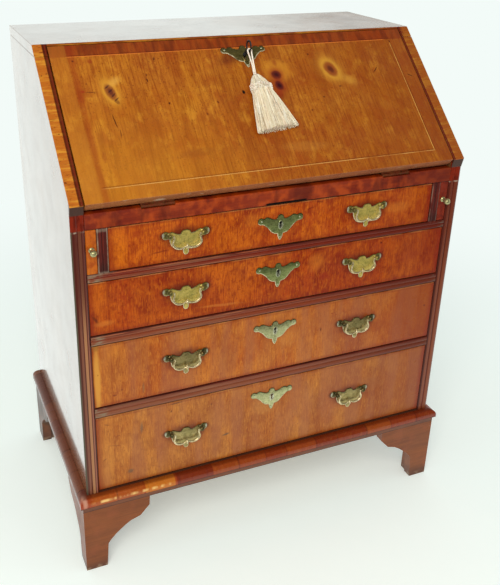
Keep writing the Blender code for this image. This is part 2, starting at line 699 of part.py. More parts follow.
def make_hinge(side, way, look):
    """A brass butt hinge: the case's leaf holds the pin, and the fall's leaf turns on it."""
    x = way * HINGE_X
    end = HINGE_LENGTH / 2
    middle = HINGE_KNUCKLE / 2
    clear = BARREL_RADIUS + SEAT
    hold = BARREL_RADIUS / 3
    width = HINGE_LEAF_WIDTH
    thick = HINGE_LEAF_THICKNESS
    case_outline = (
        (x - end, hold), (x - middle - SEAT, hold), (x - middle - SEAT, clear), (x + middle + SEAT, clear),
        (x + middle + SEAT, hold), (x + end, hold), (x + end, width), (x - end, width),
    )
    name = f"hinge_{side}_case_leaf"
    case_leaf = prism(name, case_outline, "Z", -thick, 0, look, pin_frame)
    knuckle_length = end - middle - SEAT
    knuckle(case_leaf, f"{name}_knuckle_1", x - end, knuckle_length, pin_frame)
    knuckle(case_leaf, f"{name}_knuckle_2", x + middle + SEAT, knuckle_length, pin_frame)
    pin_start = (x - end + SEAT, 0, 0)
    join(case_leaf, rod(f"{name}_pin", PIN_RADIUS, pin_start, (1, 0, 0), 2 * (end - SEAT), frame=pin_frame))
    fall_outline = (
        (x - end, clear), (x - middle, clear), (x - middle, hold), (x + middle, hold), (x + middle, clear),
        (x + end, clear), (x + end, width), (x - end, width),
    )
    name = f"hinge_{side}_fall_leaf"
    fall_leaf = prism(name, fall_outline, "Z", 0, thick, look, slope_frame)
    knuckle(fall_leaf, f"{name}_knuckle", x - middle, HINGE_KNUCKLE, slope_frame)
    bore_start = (x - middle - OVERRUN, 0, 0)
    bore_length = HINGE_KNUCKLE + 2 * OVERRUN
    cut(fall_leaf, rod(
        f"{name}_bore", PIN_RADIUS + SEAT, bore_start, (1, 0, 0), bore_length, frame=slope_frame,
    ))


def make_lock(fall, look, look_bolt, look_plate):
    """The lock let into the fall, its bolt, and the batwing plate outside, all with one keyhole."""
    half = LOCK_WIDTH / 2
    lock = box("fall_lock", (-half, LOCK_START, 0), (half, FALL_END, LOCK_THICKNESS), look, slope_frame)
    wide = BOLT_WIDTH / 2
    back = LOCK_SKIN + SEAT
    bolt_start = FALL_END - BOLT_LENGTH
    box(
        "lock_bolt", (-wide, bolt_start, back), (wide, FALL_END, back + BOLT_THICKNESS),
        look_bolt, slope_frame,
    )
    cut(lock, box(
        "bolt_channel",
        (-wide - SEAT, bolt_start - SEAT, LOCK_SKIN),
        (wide + SEAT, FALL_END + OVERRUN, back + BOLT_THICKNESS + SEAT),
        frame=slope_frame,
    ))
    pocket = (0, KEYHOLE_UP, LOCK_SKIN)
    cut(lock, rod(
        "bit_pocket", BIT_REACH + RUN_GAP, pocket, (0, 0, 1), BOLT_THICKNESS, frame=slope_frame, sides=24,
    ))
    thickness = FALL_THICKNESS + SEAT
    outline = shifted(
        batwing(ESCUTCHEON_SHARES, ESCUTCHEON_WIDTH, ESCUTCHEON_HEIGHT),
        FALL_PLATE_SHIFT, KEYHOLE_UP + FALL_KEYHOLE_BELOW_EARS,
    )
    name = "fall_escutcheon"
    plate = prism(name, outline, "Z", thickness, thickness + PLATE_THICKNESS, look_plate, slope_frame)
    boss = shifted(oval(BOSS_HALF_WIDTH, BOSS_HALF_HEIGHT), 0, KEYHOLE_UP - BOSS_HALF_HEIGHT / 2)
    boss_low = thickness + PLATE_THICKNESS / 2
    boss_high = thickness + PLATE_THICKNESS + BOSS_THICKNESS
    join(plate, prism(f"{name}_boss", boss, "Z", boss_low, boss_high, frame=slope_frame))
    hole = shifted(keyhole_outline(), 0, KEYHOLE_UP)
    inside = LOCK_SKIN + BOLT_THICKNESS / 2
    tool = prism("keyhole", hole, "Z", inside, boss_high + OVERRUN, frame=slope_frame)
    for body in (lock, fall, plate):
        cut(body, tool)


def make_key(look):
    """The key: bit inside the lock, round shank, and a ring bow that stands out of the slope."""
    axis = (0, KEYHOLE_UP, 0)
    tip = LOCK_SKIN + SEAT
    length = BOW_CENTRE - BOW_INNER - tip
    key = rod("key", KEY_RADIUS, (0, KEYHOLE_UP, tip), (0, 0, 1), length, look, slope_frame, axis, 12)
    half = BOW_THICKNESS / 2
    ring = ((BOW_INNER, -half), (BOW_OUTER, -half), (BOW_OUTER, half), (BOW_INNER, half))
    join(key, turned(
        "key_bow", ring, (0, KEYHOLE_UP, BOW_CENTRE), (1, 0, 0), frame=slope_frame, sides=24, hollow=True,
    ))
    thin = BIT_THICKNESS / 2
    join(key, box(
        "key_bit", (-thin, KEYHOLE_UP - BIT_REACH, tip), (thin, KEYHOLE_UP, tip + BIT_LENGTH),
        frame=slope_frame,
    ))
    return key


def tassel_top():
    """The middle of the tassel's top, where it lies on the slope."""
    return Vector((TASSEL_SHIFT, KEYHOLE_UP - TASSEL_HEAD_DROP, FALL_THICKNESS + SEAT + TASSEL_DEPTH))


def cord_hang():
    """Where the cord crosses the bow, and which way it leaves, both in the slope's frame."""
    bow = Vector((0, KEYHOLE_UP, BOW_CENTRE))
    head = tassel_top()
    away = Vector((0, head.y - bow.y, head.z - bow.z)).normalized()
    return bow + away * (BOW_INNER - CORD_RADIUS - CORD_SEAT), away


def make_tassel(look):
    """The cord looped through the key's bow, and the tassel that lies on the slope, leaning a little."""
    hang, away = cord_hang()
    head = tassel_top()
    along = Vector((math.sin(TASSEL_LEAN), -math.cos(TASSEL_LEAN), 0))
    across = Vector((math.cos(TASSEL_LEAN), math.sin(TASSEL_LEAN), 0))
    end = head - along * SEAT
    leave = hang + away * 2 * CORD_LOOP
    lead = [(leave, CORD_LOOP), (leave.lerp(end, 0.5), CORD_PAIR)]
    lead += [(end - along * CORD_RADIUS * 3, CORD_PAIR), (end, CORD_PAIR)]
    turns = [math.pi / 2 * i / 6 for i in range(7)]
    strands = []
    for way in (1, -1):
        arc = [
            hang + away * CORD_LOOP * (1 - math.cos(a)) + Vector((way * CORD_LOOP * math.sin(a), 0, 0))
            for a in turns
        ]
        rest = [place + across * way * half for place, half in lead]
        strands.append([*arc[:-1], *curve_through([arc[-1], *rest], 3)])
    route = [*reversed(strands[1][1:]), *strands[0]]
    data = bpy.data.curves.new("tassel_cord", "CURVE")
    data.dimensions = "3D"
    data.bevel_depth = CORD_RADIUS
    data.bevel_resolution = 2
    data.use_fill_caps = True
    line = data.splines.new("POLY")
    line.points.add(len(route) - 1)
    for point, place in zip(line.points, route):
        point.co = (*(place - hang), 1)
    data.materials.append(look)
    cord = bpy.data.objects.new("tassel_cord", data)
    cord.location = hang
    cord.parent = slope_frame
    bpy.context.scene.collection.objects.link(cord)

    mesh = bmesh.new()
    rings = []
    for share, wide, deep in TASSEL_SHARES:
        half_depth = TASSEL_DEPTH * deep
        middle = head + along * TASSEL_LENGTH * share
        middle.z = head.z - (TASSEL_DEPTH - half_depth) * min(1, share / TASSEL_SHARES[2][0])
        ring = []
        for i in range(TASSEL_SIDES):
            angle = 2 * math.pi * i / TASSEL_SIDES
            offset = across * TASSEL_WIDTH * wide * math.cos(angle)
            offset += Vector((0, 0, half_depth * math.sin(angle)))
            ring.append(mesh.verts.new(middle + offset))
        rings.append(ring)
    for here, there in zip(rings, rings[1:]):
        for i in range(TASSEL_SIDES):
            after = (i + 1) % TASSEL_SIDES
            mesh.faces.new((here[i], here[after], there[after], there[i]))
    mesh.faces.new(rings[0])
    mesh.faces.new(reversed(rings[-1]))
    finish("tassel", mesh, look, slope_frame, hang, smooth=True)


def nest_front():
    """Y of the front of all that stands inside the desk, clear of the closed fall."""
    return slope_point(SLOPE_LENGTH, 0)[0] + NEST_SETBACK


def make_nest(side, way, look):
    """One bank of pigeonholes with upright dividers, open at the front."""
    front, back = nest_front(), BACK_FACE - SEAT
    bottom, top = WRITING_Z + SEAT, TOP_UNDER - SEAT
    low, high = sorted((way * NEST_CENTRE / 2, way * (INSIDE - SEAT)))
    nest = box(f"nest_{side}", (low, front, bottom), (high, back, top), look)
    width = (high - low - (PIGEONHOLES_A_SIDE + 1) * NEST_WALL) / PIGEONHOLES_A_SIDE
    for i in range(PIGEONHOLES_A_SIDE):
        start = low + NEST_WALL + i * (width + NEST_WALL)
        cut(nest, box(
            f"pigeonhole_{side}_{i + 1}",
            (start, front - OVERRUN, bottom + NEST_WALL),
            (start + width, back - NEST_WALL, top - NEST_WALL),
        ))
    return nest


def make_shelf(nest):
    """Joins the shelf over the small drawer to the left bank, and it reaches to the right one."""
    half = NEST_CENTRE / 2
    low = WRITING_Z + SEAT + NEST_DRAWER_HEIGHT
    join(nest, box(
        "nest_shelf", (-half - OVERRUN, nest_front(), low), (half - SEAT, BACK_FACE - SEAT, low + NEST_WALL),
    ))


def make_inner_drawer(look):
    """The small drawer between the two banks, on the desk's floor."""
    name = "inner_drawer"
    front, deep = nest_front(), BACK_FACE - NEST_WALL
    low, high = SLIDE_GAP - NEST_CENTRE / 2, NEST_CENTRE / 2 - SLIDE_GAP
    bottom = WRITING_Z + SEAT
    top = bottom + NEST_DRAWER_HEIGHT - SLIDE_GAP
    drawer = box(name, (low, front, bottom), (high, deep, top), look)
    wall = INNER_DRAWER_WALL
    cut(drawer, box(
        f"{name}_inside",
        (low + wall, front + INNER_DRAWER_FRONT, bottom + wall), (high - wall, deep - wall, top + OVERRUN),
    ))
    radius = INNER_KNOB_RADIUS
    profile = (
        (radius / 2, -INNER_DRAWER_FRONT / 2), (radius / 2, INNER_KNOB_LENGTH / 3),
        (radius, INNER_KNOB_LENGTH / 2), (radius, INNER_KNOB_LENGTH * 3 / 4), (0, INNER_KNOB_LENGTH),
    )
    place = ((low + high) / 2, front, (bottom + top) / 2)
    return join(drawer, turned(f"{name}_knob", profile, place, (0, -1, 0), sides=12))


clear_scene()
walnut = material("polished walnut", (0.36, 0.15, 0.035), 0.28)
walnut_side = material("walnut side board", (0.42, 0.30, 0.20), 0.3)
burr = material("golden walnut veneer", (0.50, 0.22, 0.045), 0.25)
dark_bead = material("dark walnut moulding", (0.16, 0.04, 0.02), 0.3)
oak = material("oak lining", (0.40, 0.27, 0.14), 0.6)
brass = material("old brass", (0.36, 0.33, 0.14), 0.35, 1.0)
iron = material("dark iron", (0.05, 0.05, 0.05), 0.45, 1.0)
silk = material("cream silk", (0.75, 0.66, 0.48), 0.7)

pin_frame = empty("pin_frame", HINGE_PIN)
slope_frame = empty("slope_frame", HINGE_PIN, SLOPE)

for side_name, side_way in SIDES:
    make_side(f"side_{side_name}", side_way, walnut_side)
    make_foot(f"foot_front_{side_name}", side_way, True, walnut)
    make_foot(f"foot_back_{side_name}", side_way, False, walnut)
    make_hinge(side_name, side_way, brass)
make_top(walnut_side)
make_back(oak)
make_bottom(oak)
make_writing_board(walnut)
make_base(walnut)

level = FIRST_FLOOR
drawer_count = len(DRAWER_HEIGHTS)
for index, drawer_height in enumerate(DRAWER_HEIGHTS):
    drawer_number = drawer_count - index
    is_top = drawer_number == 1
    drawer_half = (divider_place(1)[0] if is_top else INSIDE) - FRONT_GAP / 2
    make_drawer(drawer_number, level, drawer_half, drawer_height, burr, oak)
    if is_top:
        for side_name, side_way in SIDES:
            make_divider(top_rail, side_name, side_way, level)
            make_loper(side_name, side_way, level, burr, brass)
    drawer_top = level + FRONT_GAP + drawer_height
    make_drawer_escutcheon(drawer_number, drawer_top, brass)
    handle_z = level + FRONT_GAP + drawer_height / 2 + HANDLE_RISE
    for side_name, side_way in SIDES:
        handle_x = FITTING_SHIFT + side_way * HANDLE_X
        make_handle_plate(f"drawer_{drawer_number}_handle_plate_{side_name}", handle_x, handle_z, brass)
        make_bail(f"drawer_{drawer_number}_bail_{side_name}", handle_x, handle_z, brass)
    level = drawer_top + FRONT_GAP
    if not is_top:
        top_rail = make_rail(f"drawer_rail_{drawer_number - 1}", level, RAIL_THICKNESSES[index], dark_bead)
        level += RAIL_THICKNESSES[index]

fall_panel = make_fall(burr)
make_lock(fall_panel, brass, iron, brass)
make_key(iron)
make_tassel(silk)
nests = {side_name: make_nest(side_name, side_way, oak) for side_name, side_way in SIDES}
make_shelf(nests["left"])
make_inner_drawer(oak)
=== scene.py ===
"""Looks of the walnut writing bureau: its camera and light, its materials, and its finely made fittings.

Metres, +Z up, the front looks along -Y. Colours are written in sRGB.
"""
import math
import random

import bmesh
import bpy
from mathutils import Matrix, Vector


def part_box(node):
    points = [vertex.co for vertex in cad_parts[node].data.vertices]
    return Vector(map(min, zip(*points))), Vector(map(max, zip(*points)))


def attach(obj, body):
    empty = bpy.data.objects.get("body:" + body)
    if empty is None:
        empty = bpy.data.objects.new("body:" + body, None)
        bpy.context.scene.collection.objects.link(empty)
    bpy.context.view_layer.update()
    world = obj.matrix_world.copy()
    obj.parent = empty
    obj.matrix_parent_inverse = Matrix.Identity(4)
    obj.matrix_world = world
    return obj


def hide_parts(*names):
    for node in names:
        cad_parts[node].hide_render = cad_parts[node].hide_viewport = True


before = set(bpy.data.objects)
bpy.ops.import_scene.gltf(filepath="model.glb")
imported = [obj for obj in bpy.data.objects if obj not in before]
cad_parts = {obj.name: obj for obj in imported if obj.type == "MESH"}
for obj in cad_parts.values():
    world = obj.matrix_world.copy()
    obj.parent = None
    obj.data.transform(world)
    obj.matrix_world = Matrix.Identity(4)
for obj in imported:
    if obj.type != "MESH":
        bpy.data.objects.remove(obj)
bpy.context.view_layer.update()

MM = 0.001

# The slope: its frame has Y up the slope and Z out of it, with the hinge pin at the origin
HINGE_PIN = (0.0, -0.2215, 0.748)
SLOPE = math.radians(42.91027)
SLOPE_FRAME = Matrix.Translation(HINGE_PIN) @ Matrix.Rotation(SLOPE, 4, "X")
FALL_THICKNESS = 0.020
SEAT = 0.0003
KEYHOLE_UP = 0.2753096
UPRIGHT = Matrix.Rotation(math.pi / 2, 4, "X")

# The case
FRONT_Y = -0.226
DRAWER_FACE = -0.2242
HALF_WIDTH = 0.390
WRITING_Z = 0.748
DRAWERS = (1, 2, 3, 4)
SIDES = (("left", -1), ("right", 1))

# The fittings
FITTING_SHIFT = -0.0045
HANDLE_X = 0.184
HANDLE_RISE = 0.0105
ESCUTCHEON_DROP = 0.028
HANDLE_PLATE_SIZE = (0.088, 0.0475)
ESCUTCHEON_SIZE = (0.092, 0.0515)
KEYHOLE_BELOW_EARS = 0.0065
FALL_KEYHOLE_BELOW_EARS = 0.0142
FALL_PLATE_SHIFT = 0.0015
PLATE_THICKNESS = 0.0016
PLATE_BEVEL = 0.0016
POST_SPREAD = 0.031
BAIL_STAND = 0.0076
BAIL_DROP = 0.0240
BAIL_PIN_X = 0.0287
PIN_SPREAD = 0.0385
HINGE_X = 0.238
SCREW_FROM_PIN = 0.014

# The tassel and its cord, in the slope's frame
BOW_CENTRE = Vector((0, KEYHOLE_UP, 0.050))
BOW_INNER = 0.0073
BOW_OUTER = 0.0115
CORD_RADIUS = 0.0015
CORD_LOOP = 0.0040
CORD_PAIR = 0.00165
TASSEL_LENGTH = 0.118
TASSEL_WIDTH = 0.0425
TASSEL_DEPTH = 0.0112
TASSEL_LEAN = math.radians(5.5)
TASSEL_HEAD = Vector((0.0035, KEYHOLE_UP - 0.0525, FALL_THICKNESS + SEAT + TASSEL_DEPTH))
TASSEL_ALONG = Vector((math.sin(TASSEL_LEAN), -math.cos(TASSEL_LEAN), 0))
TASSEL_ACROSS = Vector((math.cos(TASSEL_LEAN), math.sin(TASSEL_LEAN), 0))
SKIRT_THREADS = 330
SKIRT_SHARE = 0.262
HEAD_THREADS = 90
THREAD_RADIUS = 0.00042
KNOTS_ROUND = 30
KNOT_RADIUS = 0.00125
KNOT_THICK = 0.00058
# From the tassel's top down: how far along, its half width and its half depth
TASSEL_SHARES = (
    (0.00, 0.14, 0.40), (0.03, 0.23, 0.70), (0.11, 0.36, 0.92), (0.21, 0.49, 1.00),
    (0.27, 0.52, 0.97), (0.31, 0.49, 0.90), (0.50, 0.66, 0.88), (0.75, 0.84, 0.80), (1.00, 1.00, 0.68),
)

# Half of each batwing outline: across from the middle, and up from the line of the two ears
ESCUTCHEON_SHARES = (
    (0.00, 0.185), (0.075, 0.172), (0.128, 0.115), (0.163, 0.034), (0.280, 0.024), (0.413, 0.070),
    (0.554, 0.130), (0.652, 0.125), (0.735, 0.088), (0.804, 0.117), (0.891, 0.125), (0.967, 0.083),
    (1.000, 0.000), (0.974, -0.083), (0.891, -0.125), (0.804, -0.130), (0.730, -0.155),
    (0.641, -0.215), (0.543, -0.290), (0.424, -0.420), (0.304, -0.505), (0.185, -0.538),
    (0.128, -0.545), (0.110, -0.610), (0.085, -0.690), (0.047, -0.760), (0.00, -0.790),
)
HANDLE_PLATE_SHARES = (
    (0.00, 0.158), (0.114, 0.143), (0.193, 0.084), (0.239, 0.011), (0.364, 0.032), (0.500, 0.095),
    (0.614, 0.137), (0.690, 0.105), (0.773, 0.147), (0.886, 0.158), (0.977, 0.095),
    (1.000, 0.000), (0.966, -0.095), (0.864, -0.147), (0.770, -0.137), (0.700, -0.150),
    (0.670, -0.274), (0.614, -0.421), (0.477, -0.558), (0.318, -0.621), (0.182, -0.621),
    (0.128, -0.605), (0.122, -0.674), (0.109, -0.768), (0.064, -0.821), (0.00, -0.842),
)
# Half of the bail, from its pin to its middle: across, down, and its radius in millimetres
BAIL_SHARES = (
    (0.92, 0.00, 1.3), (0.80, 0.00, 1.4), (0.775, 0.06, 1.5), (0.775, 0.22, 1.6), (0.825, 0.40, 1.8),
    (0.850, 0.56, 2.0), (0.805, 0.75, 2.2), (0.67, 0.91, 2.3), (0.48, 1.00, 2.2), (0.29, 1.00, 1.9),
    (0.16, 0.94, 1.5), (0.05, 0.87, 1.2),
)


# Camera and light

def paint(code):
    """Linear colour of an sRGB hex code."""
    values = [int(code[i:i + 2], 16) / 255 for i in (1, 3, 5)]
    return (*[v / 12.92 if v <= 0.04045 else ((v + 0.055) / 1.055) ** 2.4 for v in values], 1)


def add(tree, kind, inputs=None, **settings):
    """Adds a node. Its inputs, by name or number, take a value, another node, or one of its outputs."""
    node = tree.nodes.new(kind)
    for key, value in settings.items():
        setattr(node, key, value)
    for key, value in (inputs or {}).items():
        found = [s for s in node.inputs if s.name == key and s.enabled]
        socket = node.inputs[key] if isinstance(key, int) else found[0]
        if isinstance(value, bpy.types.Node):
            value = [s for s in value.outputs if s.enabled][0]
        if isinstance(value, bpy.types.NodeSocket):
            tree.links.new(value, socket)
        else:
            socket.default_value = value
    return node


def link(made):
    """Puts an object in the scene."""
    bpy.context.scene.collection.objects.link(made)
    return made


scene = bpy.context.scene
scene.view_settings.view_transform = "Standard"

camera = link(bpy.data.objects.new("camera", bpy.data.cameras.new("camera")))
camera_right = Vector((0.92226331, -0.38615919, 0.01764857))
camera_down = Vector((-0.14167198, -0.38012822, -0.91401947))
camera_forward = Vector((0.35966574, 0.84046631, -0.40528625))
turned = Matrix((camera_right, -camera_down, -camera_forward)).transposed().to_4x4()
camera.matrix_world = Matrix.Translation((-0.62983, -1.41077, 1.22606)) @ turned
camera.data.lens = 48.596
camera.data.sensor_width = 36
camera.data.shift_x = 0.05012
camera.data.shift_y = -0.07886
camera.data.clip_start = 0.05
scene.camera = camera

lamp = link(bpy.data.objects.new("window", bpy.data.lights.new("window", "AREA")))
lamp.data.size = 1.6
lamp.data.energy = 58
lamp.data.color = paint("#fffaf2")[:3]
lamp.location = (-1.3, -2.3, 2.5)
lamp.rotation_euler = (Vector((0, 0, 0.5)) - lamp.location).to_track_quat("-Z", "Y").to_euler()

BACKGROUND = paint("#f3fbf8")


def make_world():
    """A pale room: plain white to the camera, white low down behind the case and dark in front to mirrors."""
    world = bpy.data.worlds.new("room")
    world.use_nodes = True
    scene.world = world
    tree = world.node_tree
    tree.nodes.clear()
    rays = add(tree, "ShaderNodeLightPath")
    place = add(tree, "ShaderNodeSeparateXYZ", {0: add(tree, "ShaderNodeTexCoord").outputs["Generated"]})
    low = add(tree, "ShaderNodeMapRange", {"Value": place.outputs["Z"], "From Min": 0.75, "From Max": 0.35})
    behind = add(tree, "ShaderNodeMapRange", {"Value": place.outputs["Y"], "From Min": -0.5, "From Max": 0.0})
    pale = add(tree, "ShaderNodeMath", {0: low, 1: behind}, operation="MULTIPLY")
    mirror = add(tree, "ShaderNodeMapRange", {"Value": pale, "To Min": 0.10, "To Max": 1.20})
    lit = add(tree, "ShaderNodeMix", {
        "Factor": rays.outputs["Is Glossy Ray"], "A": 0.62, "B": mirror,
    }, data_type="FLOAT")
    seen = add(tree, "ShaderNodeMix", {
        "Factor": rays.outputs["Is Camera Ray"], "A": lit, "B": 1.0,
    }, data_type="FLOAT")
    shade = add(tree, "ShaderNodeBackground", {"Color": BACKGROUND, "Strength": seen})
    add(tree, "ShaderNodeOutputWorld", {"Surface": shade})


def make_floor():
    """A plain pale floor that keeps the case's shadow and fades into the white round it."""
    mesh = bpy.data.meshes.new("floor")
    reach = 30
    corners = [(-reach, -reach, 0), (reach, -reach, 0), (reach, reach, 0), (-reach, reach, 0)]
    mesh.from_pydata(corners, [], [(0, 1, 2, 3)])
    floor = link(bpy.data.objects.new("floor", mesh))
    look = bpy.data.materials.new("pale floor cloth")
    look.use_nodes = True
    tree = look.node_tree
    tree.nodes.clear()
    rays = add(tree, "ShaderNodeLightPath")
    place = add(tree, "ShaderNodeTexCoord").outputs["Object"]
    away = add(tree, "ShaderNodeVectorMath", {0: place}, operation="LENGTH").outputs["Value"]
    far = add(tree, "ShaderNodeMapRange", {
        "Value": away, "From Min": 0.55, "From Max": 1.9,
    }, interpolation_type="SMOOTHSTEP")
    weave = add(tree, "ShaderNodeTexNoise", {"Vector": place, "Scale": 7.0, "Detail": 3.0})
    bump = add(tree, "ShaderNodeBump", {"Height": weave, "Distance": 0.004, "Strength": 0.5})
    cloth = add(tree, "ShaderNodeBsdfPrincipled", {
        "Base Color": paint("#eef5f2"), "Roughness": 0.9, "Normal": bump,
        "Emission Color": BACKGROUND, "Emission Strength": 0.24,
    })
    white = add(tree, "ShaderNodeEmission", {"Color": BACKGROUND, "Strength": 1.0})
    seen = add(tree, "ShaderNodeMixShader", {0: far, 1: cloth, 2: white})
    front = add(tree, "ShaderNodeMapRange", {
        "Value": add(tree, "ShaderNodeSeparateXYZ", {0: place}).outputs["Y"],
        "From Min": -1.25, "From Max": -0.60, "To Min": 0.06, "To Max": 1.30,
    }, interpolation_type="SMOOTHSTEP")
    mirror = add(tree, "ShaderNodeEmission", {"Color": BACKGROUND, "Strength": front})
    both = add(tree, "ShaderNodeMixShader", {0: rays.outputs["Is Glossy Ray"], 1: seen, 2: mirror})
    add(tree, "ShaderNodeOutputMaterial", {"Surface": both})
    mesh.materials.append(look)


make_world()
make_floor()


# Materials

class Finish:
    """A material built up in layers, measured over the whole bureau, its slope, or the piece itself.

    Its gloss is the shader's specular level, and other words set the shader's inputs of that name.
    """

    def __init__(self, name, colour, roughness, measured="bureau", bend=0.0, gloss=0.3, **inputs):
        self.material = bpy.data.materials.new(name)
        self.material.use_nodes = True
        self.tree = self.material.node_tree
        self.shader = self.tree.nodes["Principled BSDF"]
        self.over = self.add("ShaderNodeTexCoord").outputs["Object"]
        if measured == "slope":
            self.over = self.from_slope()
        self.place = self.over
        if measured == "piece":
            self.place = self.add("ShaderNodeAttribute", attribute_name="local").outputs["Vector"]
        self.axes = self.add("ShaderNodeSeparateXYZ", {0: self.place}).outputs
        if bend:
            noise = self.add("ShaderNodeTexNoise", {"Vector": self.over, "Scale": 45.0, "Detail": 5.0})
            moved = self.add("ShaderNodeVectorMath", {
                0: noise.outputs["Color"], 1: (0.5, 0.5, 0.5),
            }, operation="SUBTRACT")
            self.place = self.add("ShaderNodeVectorMath", {
                0: moved, 1: (bend,) * 3, 2: self.place,
            }, operation="MULTIPLY_ADD")
        self.colour = paint(colour)
        self.roughness = roughness
        self.height = 0.0
        self.shader.inputs["Specular IOR Level"].default_value = gloss
        for socket, value in inputs.items():
            self.shader.inputs[socket.replace("_", " ").title()].default_value = value

    def add(self, kind, inputs=None, **settings):
        return add(self.tree, kind, inputs, **settings)

    def from_slope(self):
        """The position in the slope's frame."""
        return self.add("ShaderNodeMapping", {
            "Vector": self.over, "Location": HINGE_PIN, "Rotation": (SLOPE, 0, 0),
        }, vector_type="TEXTURE")

    def cloud(self, size, low, high, seed=0, detail=3.0):
        """0 to 1 in soft patches of this size, or of one size for each axis."""
        scaled = self.add("ShaderNodeMapping", {
            "Vector": self.over, "Location": (seed * 1.37, seed * 0.71, seed * 2.13),
            "Scale": size if isinstance(size, tuple) else (size,) * 3,
        }, vector_type="TEXTURE")
        noise = self.add("ShaderNodeTexNoise", {"Vector": scaled, "Scale": 1.0, "Detail": detail})
        return self.add("ShaderNodeMapRange", {"Value": noise, "From Min": low, "From Max": high})

    def past(self, axis, start, end):
        """0 to 1 as the surface goes from one value of this axis to the other."""
        return self.add("ShaderNodeMapRange", {
            "Value": self.axes[axis], "From Min": start, "From Max": end,
        }, interpolation_type="SMOOTHSTEP")

    def band(self, axis, low, high, soft=0.001):
        """1 between two values of this axis."""
        return self.both(self.past(axis, low - soft, low + soft), self.past(axis, high + soft, high - soft))

    def both(self, *masks):
        """1 where every mask is 1."""
        made = masks[0]
        for mask in masks[1:]:
            made = self.add("ShaderNodeMath", {0: made, 1: mask}, operation="MULTIPLY")
        return made

    def spot(self, place, size, turn=0.0, soft=0.5, axis=2):
        """1 inside an oval, fading over the outer part of it. It turns about this axis."""
        turns = [0.0, 0.0, 0.0]
        turns[axis] = math.radians(turn)
        scaled = self.add("ShaderNodeMapping", {
            "Vector": self.place, "Location": place, "Rotation": turns, "Scale": size,
        }, vector_type="TEXTURE")
        away = self.add("ShaderNodeVectorMath", {0: scaled}, operation="LENGTH").outputs["Value"]
        return self.add("ShaderNodeMapRange", {
            "Value": away, "From Min": 1.0, "From Max": 1.0 - soft,
        }, interpolation_type="SMOOTHSTEP")

    def lay(self, mask, colour, amount=1.0):
        """Lays a colour over what is there, where the mask, or each of several, is 1."""
        masks = mask if isinstance(mask, tuple) else (mask,)
        if amount != 1.0:
            masks = (*masks, amount)
        self.colour = self.add("ShaderNodeMix", {
            "Factor": self.both(*masks), "A": self.colour, "B": paint(colour),
        }, data_type="RGBA")
        return self

    def patches(self, rows):
        """Lays soft patches: size, low, high, seed, colour, amount, and a detail of their own."""
        for size, low, high, seed, colour, amount, *detail in rows:
            self.lay(self.cloud(size, low, high, seed, *detail), colour, amount)

    def marks(self, rows, face, axis, soft):
        """Lays ovals on a flat face that looks along this axis.

        A row holds across, up, half width and half height in millimetres, turn, colour and amount, and
        its own softness where it isn't this one.
        """
        for across, up, wide, tall, turn, colour, amount, *own in rows:
            place, size = [across * MM, up * MM], [wide * MM, tall * MM]
            place.insert(axis, face)
            size.insert(axis, 1)
            self.lay(self.spot(place, size, turn, own[0] if own else soft, axis), colour, amount)

    def lift(self, mask, height):
        """Raises the surface by this height where the mask is 1."""
        self.height = self.add("ShaderNodeMath", {
            0: mask, 1: height, 2: self.height,
        }, operation="MULTIPLY_ADD")
        return self

    def dull(self, mask, amount):
        """Makes it this much rougher where the mask is 1."""
        self.roughness = self.add("ShaderNodeMath", {
            0: mask, 1: amount, 2: self.roughness,
        }, operation="MULTIPLY_ADD")
        return self

    def done(self):
        """The material, with its layers joined to the shader."""
        links = self.tree.links
        if isinstance(self.colour, tuple):
            self.shader.inputs["Base Color"].default_value = self.colour
        else:
            links.new(self.colour.outputs[2], self.shader.inputs["Base Color"])
        if isinstance(self.roughness, float):
            self.shader.inputs["Roughness"].default_value = self.roughness
        else:
            links.new(self.roughness.outputs[0], self.shader.inputs["Roughness"])
        if not isinstance(self.height, float):
            bump = self.add("ShaderNodeBump", {"Height": self.height, "Distance": 1.0, "Strength": 1.0})
            links.new(bump.outputs[0], self.shader.inputs["Normal"])
        return self.material


def long(run, across, along):
    """A size that is long along one axis."""
    return tuple(along if i == run else across for i in range(3))


def grain(look, run, dark, light, amount=1.0, seed=0):
    """Wood with its grain along one axis: clouds, streaks, fine lines, pores, and uneven wax."""
    look.patches((
        (0.13, 0.42, 0.66, seed, light, 0.55 * amount),
        (long(run, 0.03, 0.3), 0.46, 0.7, seed + 1, dark, 0.5 * amount),
        (long(run, 0.009, 0.16), 0.48, 0.74, seed + 2, light, 0.3 * amount),
        (long(run, 0.0055, 0.12), 0.5, 0.72, seed + 3, dark, 0.34 * amount),
    ))
    fine = look.cloud(long(run, 0.0016, 0.035), 0.38, 0.68, seed + 4)
    pores = look.cloud(long(run, 0.0007, 0.006), 0.6, 0.7, seed + 5)
    look.lay(fine, dark, 0.25 * amount).lay(pores, "#2a0f05", 0.3)
    look.lift(fine, -0.00002).lift(pores, -0.00005)
    look.dull(look.cloud(0.06, 0.35, 0.7, seed + 6), 0.1)


def knot(across, up, wide, tall, turn, colours, amount=0.8):
    """The marks of a knot: pale swirl, red ring and dark heart."""
    halo, ring, heart = colours
    return [
        (across, up, wide * grow, tall * grow, turn, colour, much, soft)
        for grow, colour, much, soft in (
            (2.3, halo, 0.45, 0.8), (1.55, halo, 0.55, 0.5),
            (1.0, ring, amount, 0.45), (0.55, heart, amount, 0.7),
        )
    ]


